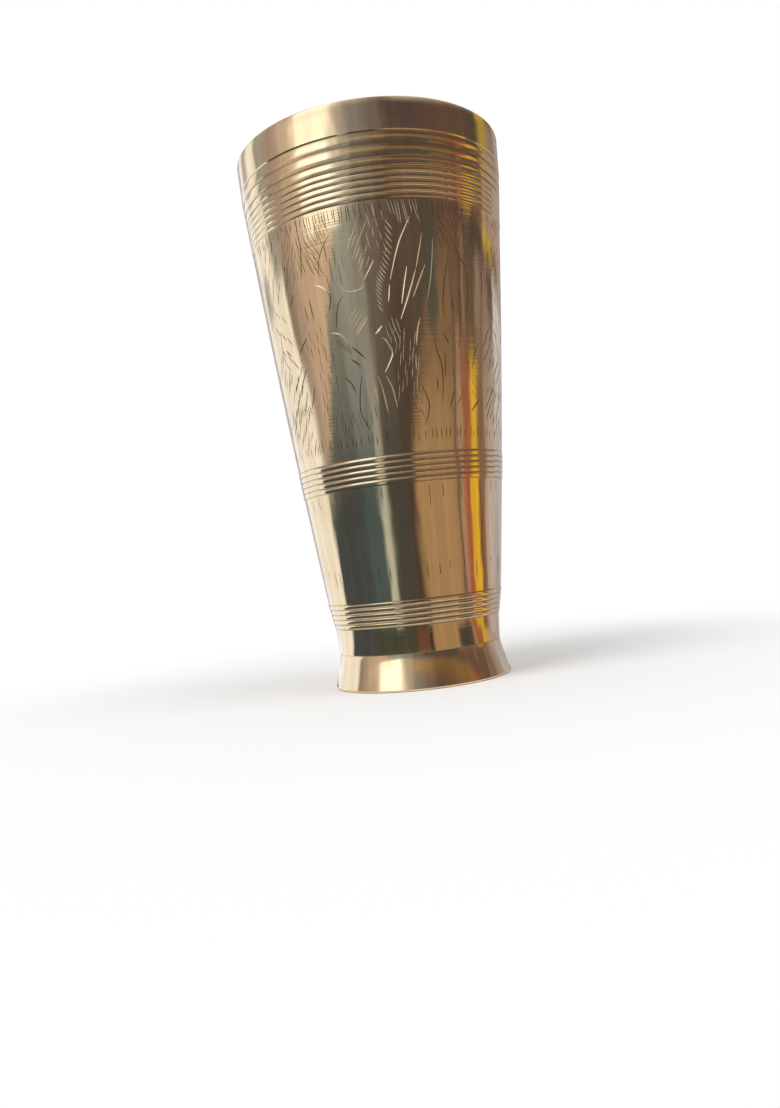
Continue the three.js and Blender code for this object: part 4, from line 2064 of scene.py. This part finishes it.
@dataclass
class Studio:
    """Plain floor, white room, soft lamps and the camera, in metres and degrees.

    Attributes:
        floor_size: Width of the floor.
        floor_colour: Colour of the floor.
        fade_start: Distance from the object at which the floor starts to fade to white.
        fade_end: Distance at which it is white.
        room_light: Strength of the room's light on what doesn't shine.
        camera_place: Where the camera stands.
        camera_near: Nearest distance that it sees.
        pan: How far it looks to the right.
        tilt: How far it looks up.
        roll: How far it is turned about its view.
        focal_pixels: Its focal length, in pixels of the picture.
        frame_pixels: Longer side of the picture, in pixels.
        sensor: Longer side of its sensor, in millimetres.
    """

    floor_size: float = 12.0
    floor_colour: Colour = (0.97, 0.97, 0.97)
    fade_start: float = 0.05
    fade_end: float = 0.26
    room_light: float = 0.55
    camera_place: Vector = field(default_factory=lambda: Vector((0.0, -0.347, 0.0462)))
    camera_near: float = 0.01
    pan: float = -1.28
    tilt: float = 0.43
    roll: float = 6.28
    focal_pixels: float = 900.0
    frame_pixels: float = 1108.0
    sensor: float = 36.0

    def seen(self, graph: Graph) -> Socket:
        """Tell the rays that show the background itself: to the eye, in gloss and through glass.

        Args:
            graph: The nodes of the floor or the room.

        Returns:
            1 for those rays and 0 for the others.
        """
        rays = graph.add("ShaderNodeLightPath").outputs
        seen = graph.maths("MAXIMUM", rays["Is Camera Ray"], rays["Is Glossy Ray"])
        return graph.maths("MAXIMUM", seen, rays["Is Transmission Ray"])

    def floor(self) -> None:
        """Lay the pale floor, which keeps the shadow and fades to white away from the object."""
        material = bpy.data.materials.new("studio_floor")
        graph = empty_graph(material)
        where = graph.add("ShaderNodeTexCoord").outputs["Object"]
        far = graph.ramp(graph.length(where), (self.fade_start, self.fade_end))
        paint = graph.result("ShaderNodeBsdfDiffuse", {"Color": (*self.floor_colour, 1)})
        glow = graph.result("ShaderNodeEmission", {"Color": WHITE, "Strength": 1.0})
        white = graph.maths("MULTIPLY", far, self.seen(graph))
        surface = graph.result("ShaderNodeMixShader", {0: white, 1: paint, 2: glow})
        graph.add("ShaderNodeOutputMaterial", {"Surface": surface})
        half = self.floor_size / 2
        corners = [Vector((x * half, y * half, 0)) for x, y in ((-1, -1), (1, -1), (1, 1), (-1, 1))]
        stage_mesh("studio_floor", corners, [(0, 1, 2, 3)], material)

    def room(self) -> None:
        """Fill the room with white for the eye and the gloss, and with soft light for the rest."""
        world = bpy.data.worlds.new("studio_room")
        bpy.context.scene.world = world
        graph = empty_graph(world)
        strength = graph.maths("MULTIPLY_ADD", self.seen(graph), 1 - self.room_light, self.room_light)
        light = graph.result("ShaderNodeBackground", {"Color": WHITE, "Strength": strength})
        graph.add("ShaderNodeOutputWorld", {"Surface": light})

    def lamps(self) -> None:
        """Hang the key lamp on the left and the fill lamp on the right, facing the object's middle."""
        target = Vector((0, 0, highest("body_wall") * MM / 2))
        for lamp in LAMPS:
            lamp.hang(target)

    def camera(self) -> None:
        """Stand the camera where the picture was taken from."""
        pan, tilt, roll = (math.radians(angle) for angle in (self.pan, self.tilt, self.roll))
        ahead = Vector((math.sin(pan) * math.cos(tilt), math.cos(pan) * math.cos(tilt), math.sin(tilt)))
        level = Vector((math.cos(pan), -math.sin(pan), 0))
        down = ahead.cross(level)
        right = level * math.cos(roll) + down * math.sin(roll)
        up = level * math.sin(roll) - down * math.cos(roll)
        data = bpy.data.cameras.new("studio_camera")
        data.sensor_width = self.sensor
        data.lens = self.sensor * self.focal_pixels / self.frame_pixels
        data.clip_start = self.camera_near
        camera = put("studio_camera", data)
        turn = Matrix((right, up, -ahead)).transposed().to_4x4()
        camera.matrix_world = Matrix.Translation(self.camera_place) @ turn
        bpy.context.scene.camera = camera

    def build(self) -> None:
        """Set up the whole studio."""
        self.camera()
        self.floor()
        self.room()
        self.lamps()
        bpy.context.scene.view_settings.view_transform = "Standard"


def main() -> None:
    """Build the studio and the tumbler, piece by piece."""
    logging.basicConfig(level=logging.INFO, format="%(name)s: %(message)s")
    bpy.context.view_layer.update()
    Studio().build()
    Surround().build()
    finishes = Finishes()
    lathe = Lathe(TURN_STEPS)
    # The fringes and the front, right and left dark cuts are painted dark: painted shade in the groove
    # with tarnished metal.
    Wall().build(lathe, Engraving(FRONT_BRIGHT, FRINGES + FRONT_DARK + RIGHT + LEFT), finishes)
    Foot().build(lathe, finishes)
    CupFloor().build(lathe, finishes)
    Brazing().build(lathe, finishes)


if __name__ == "__main__":
    main()
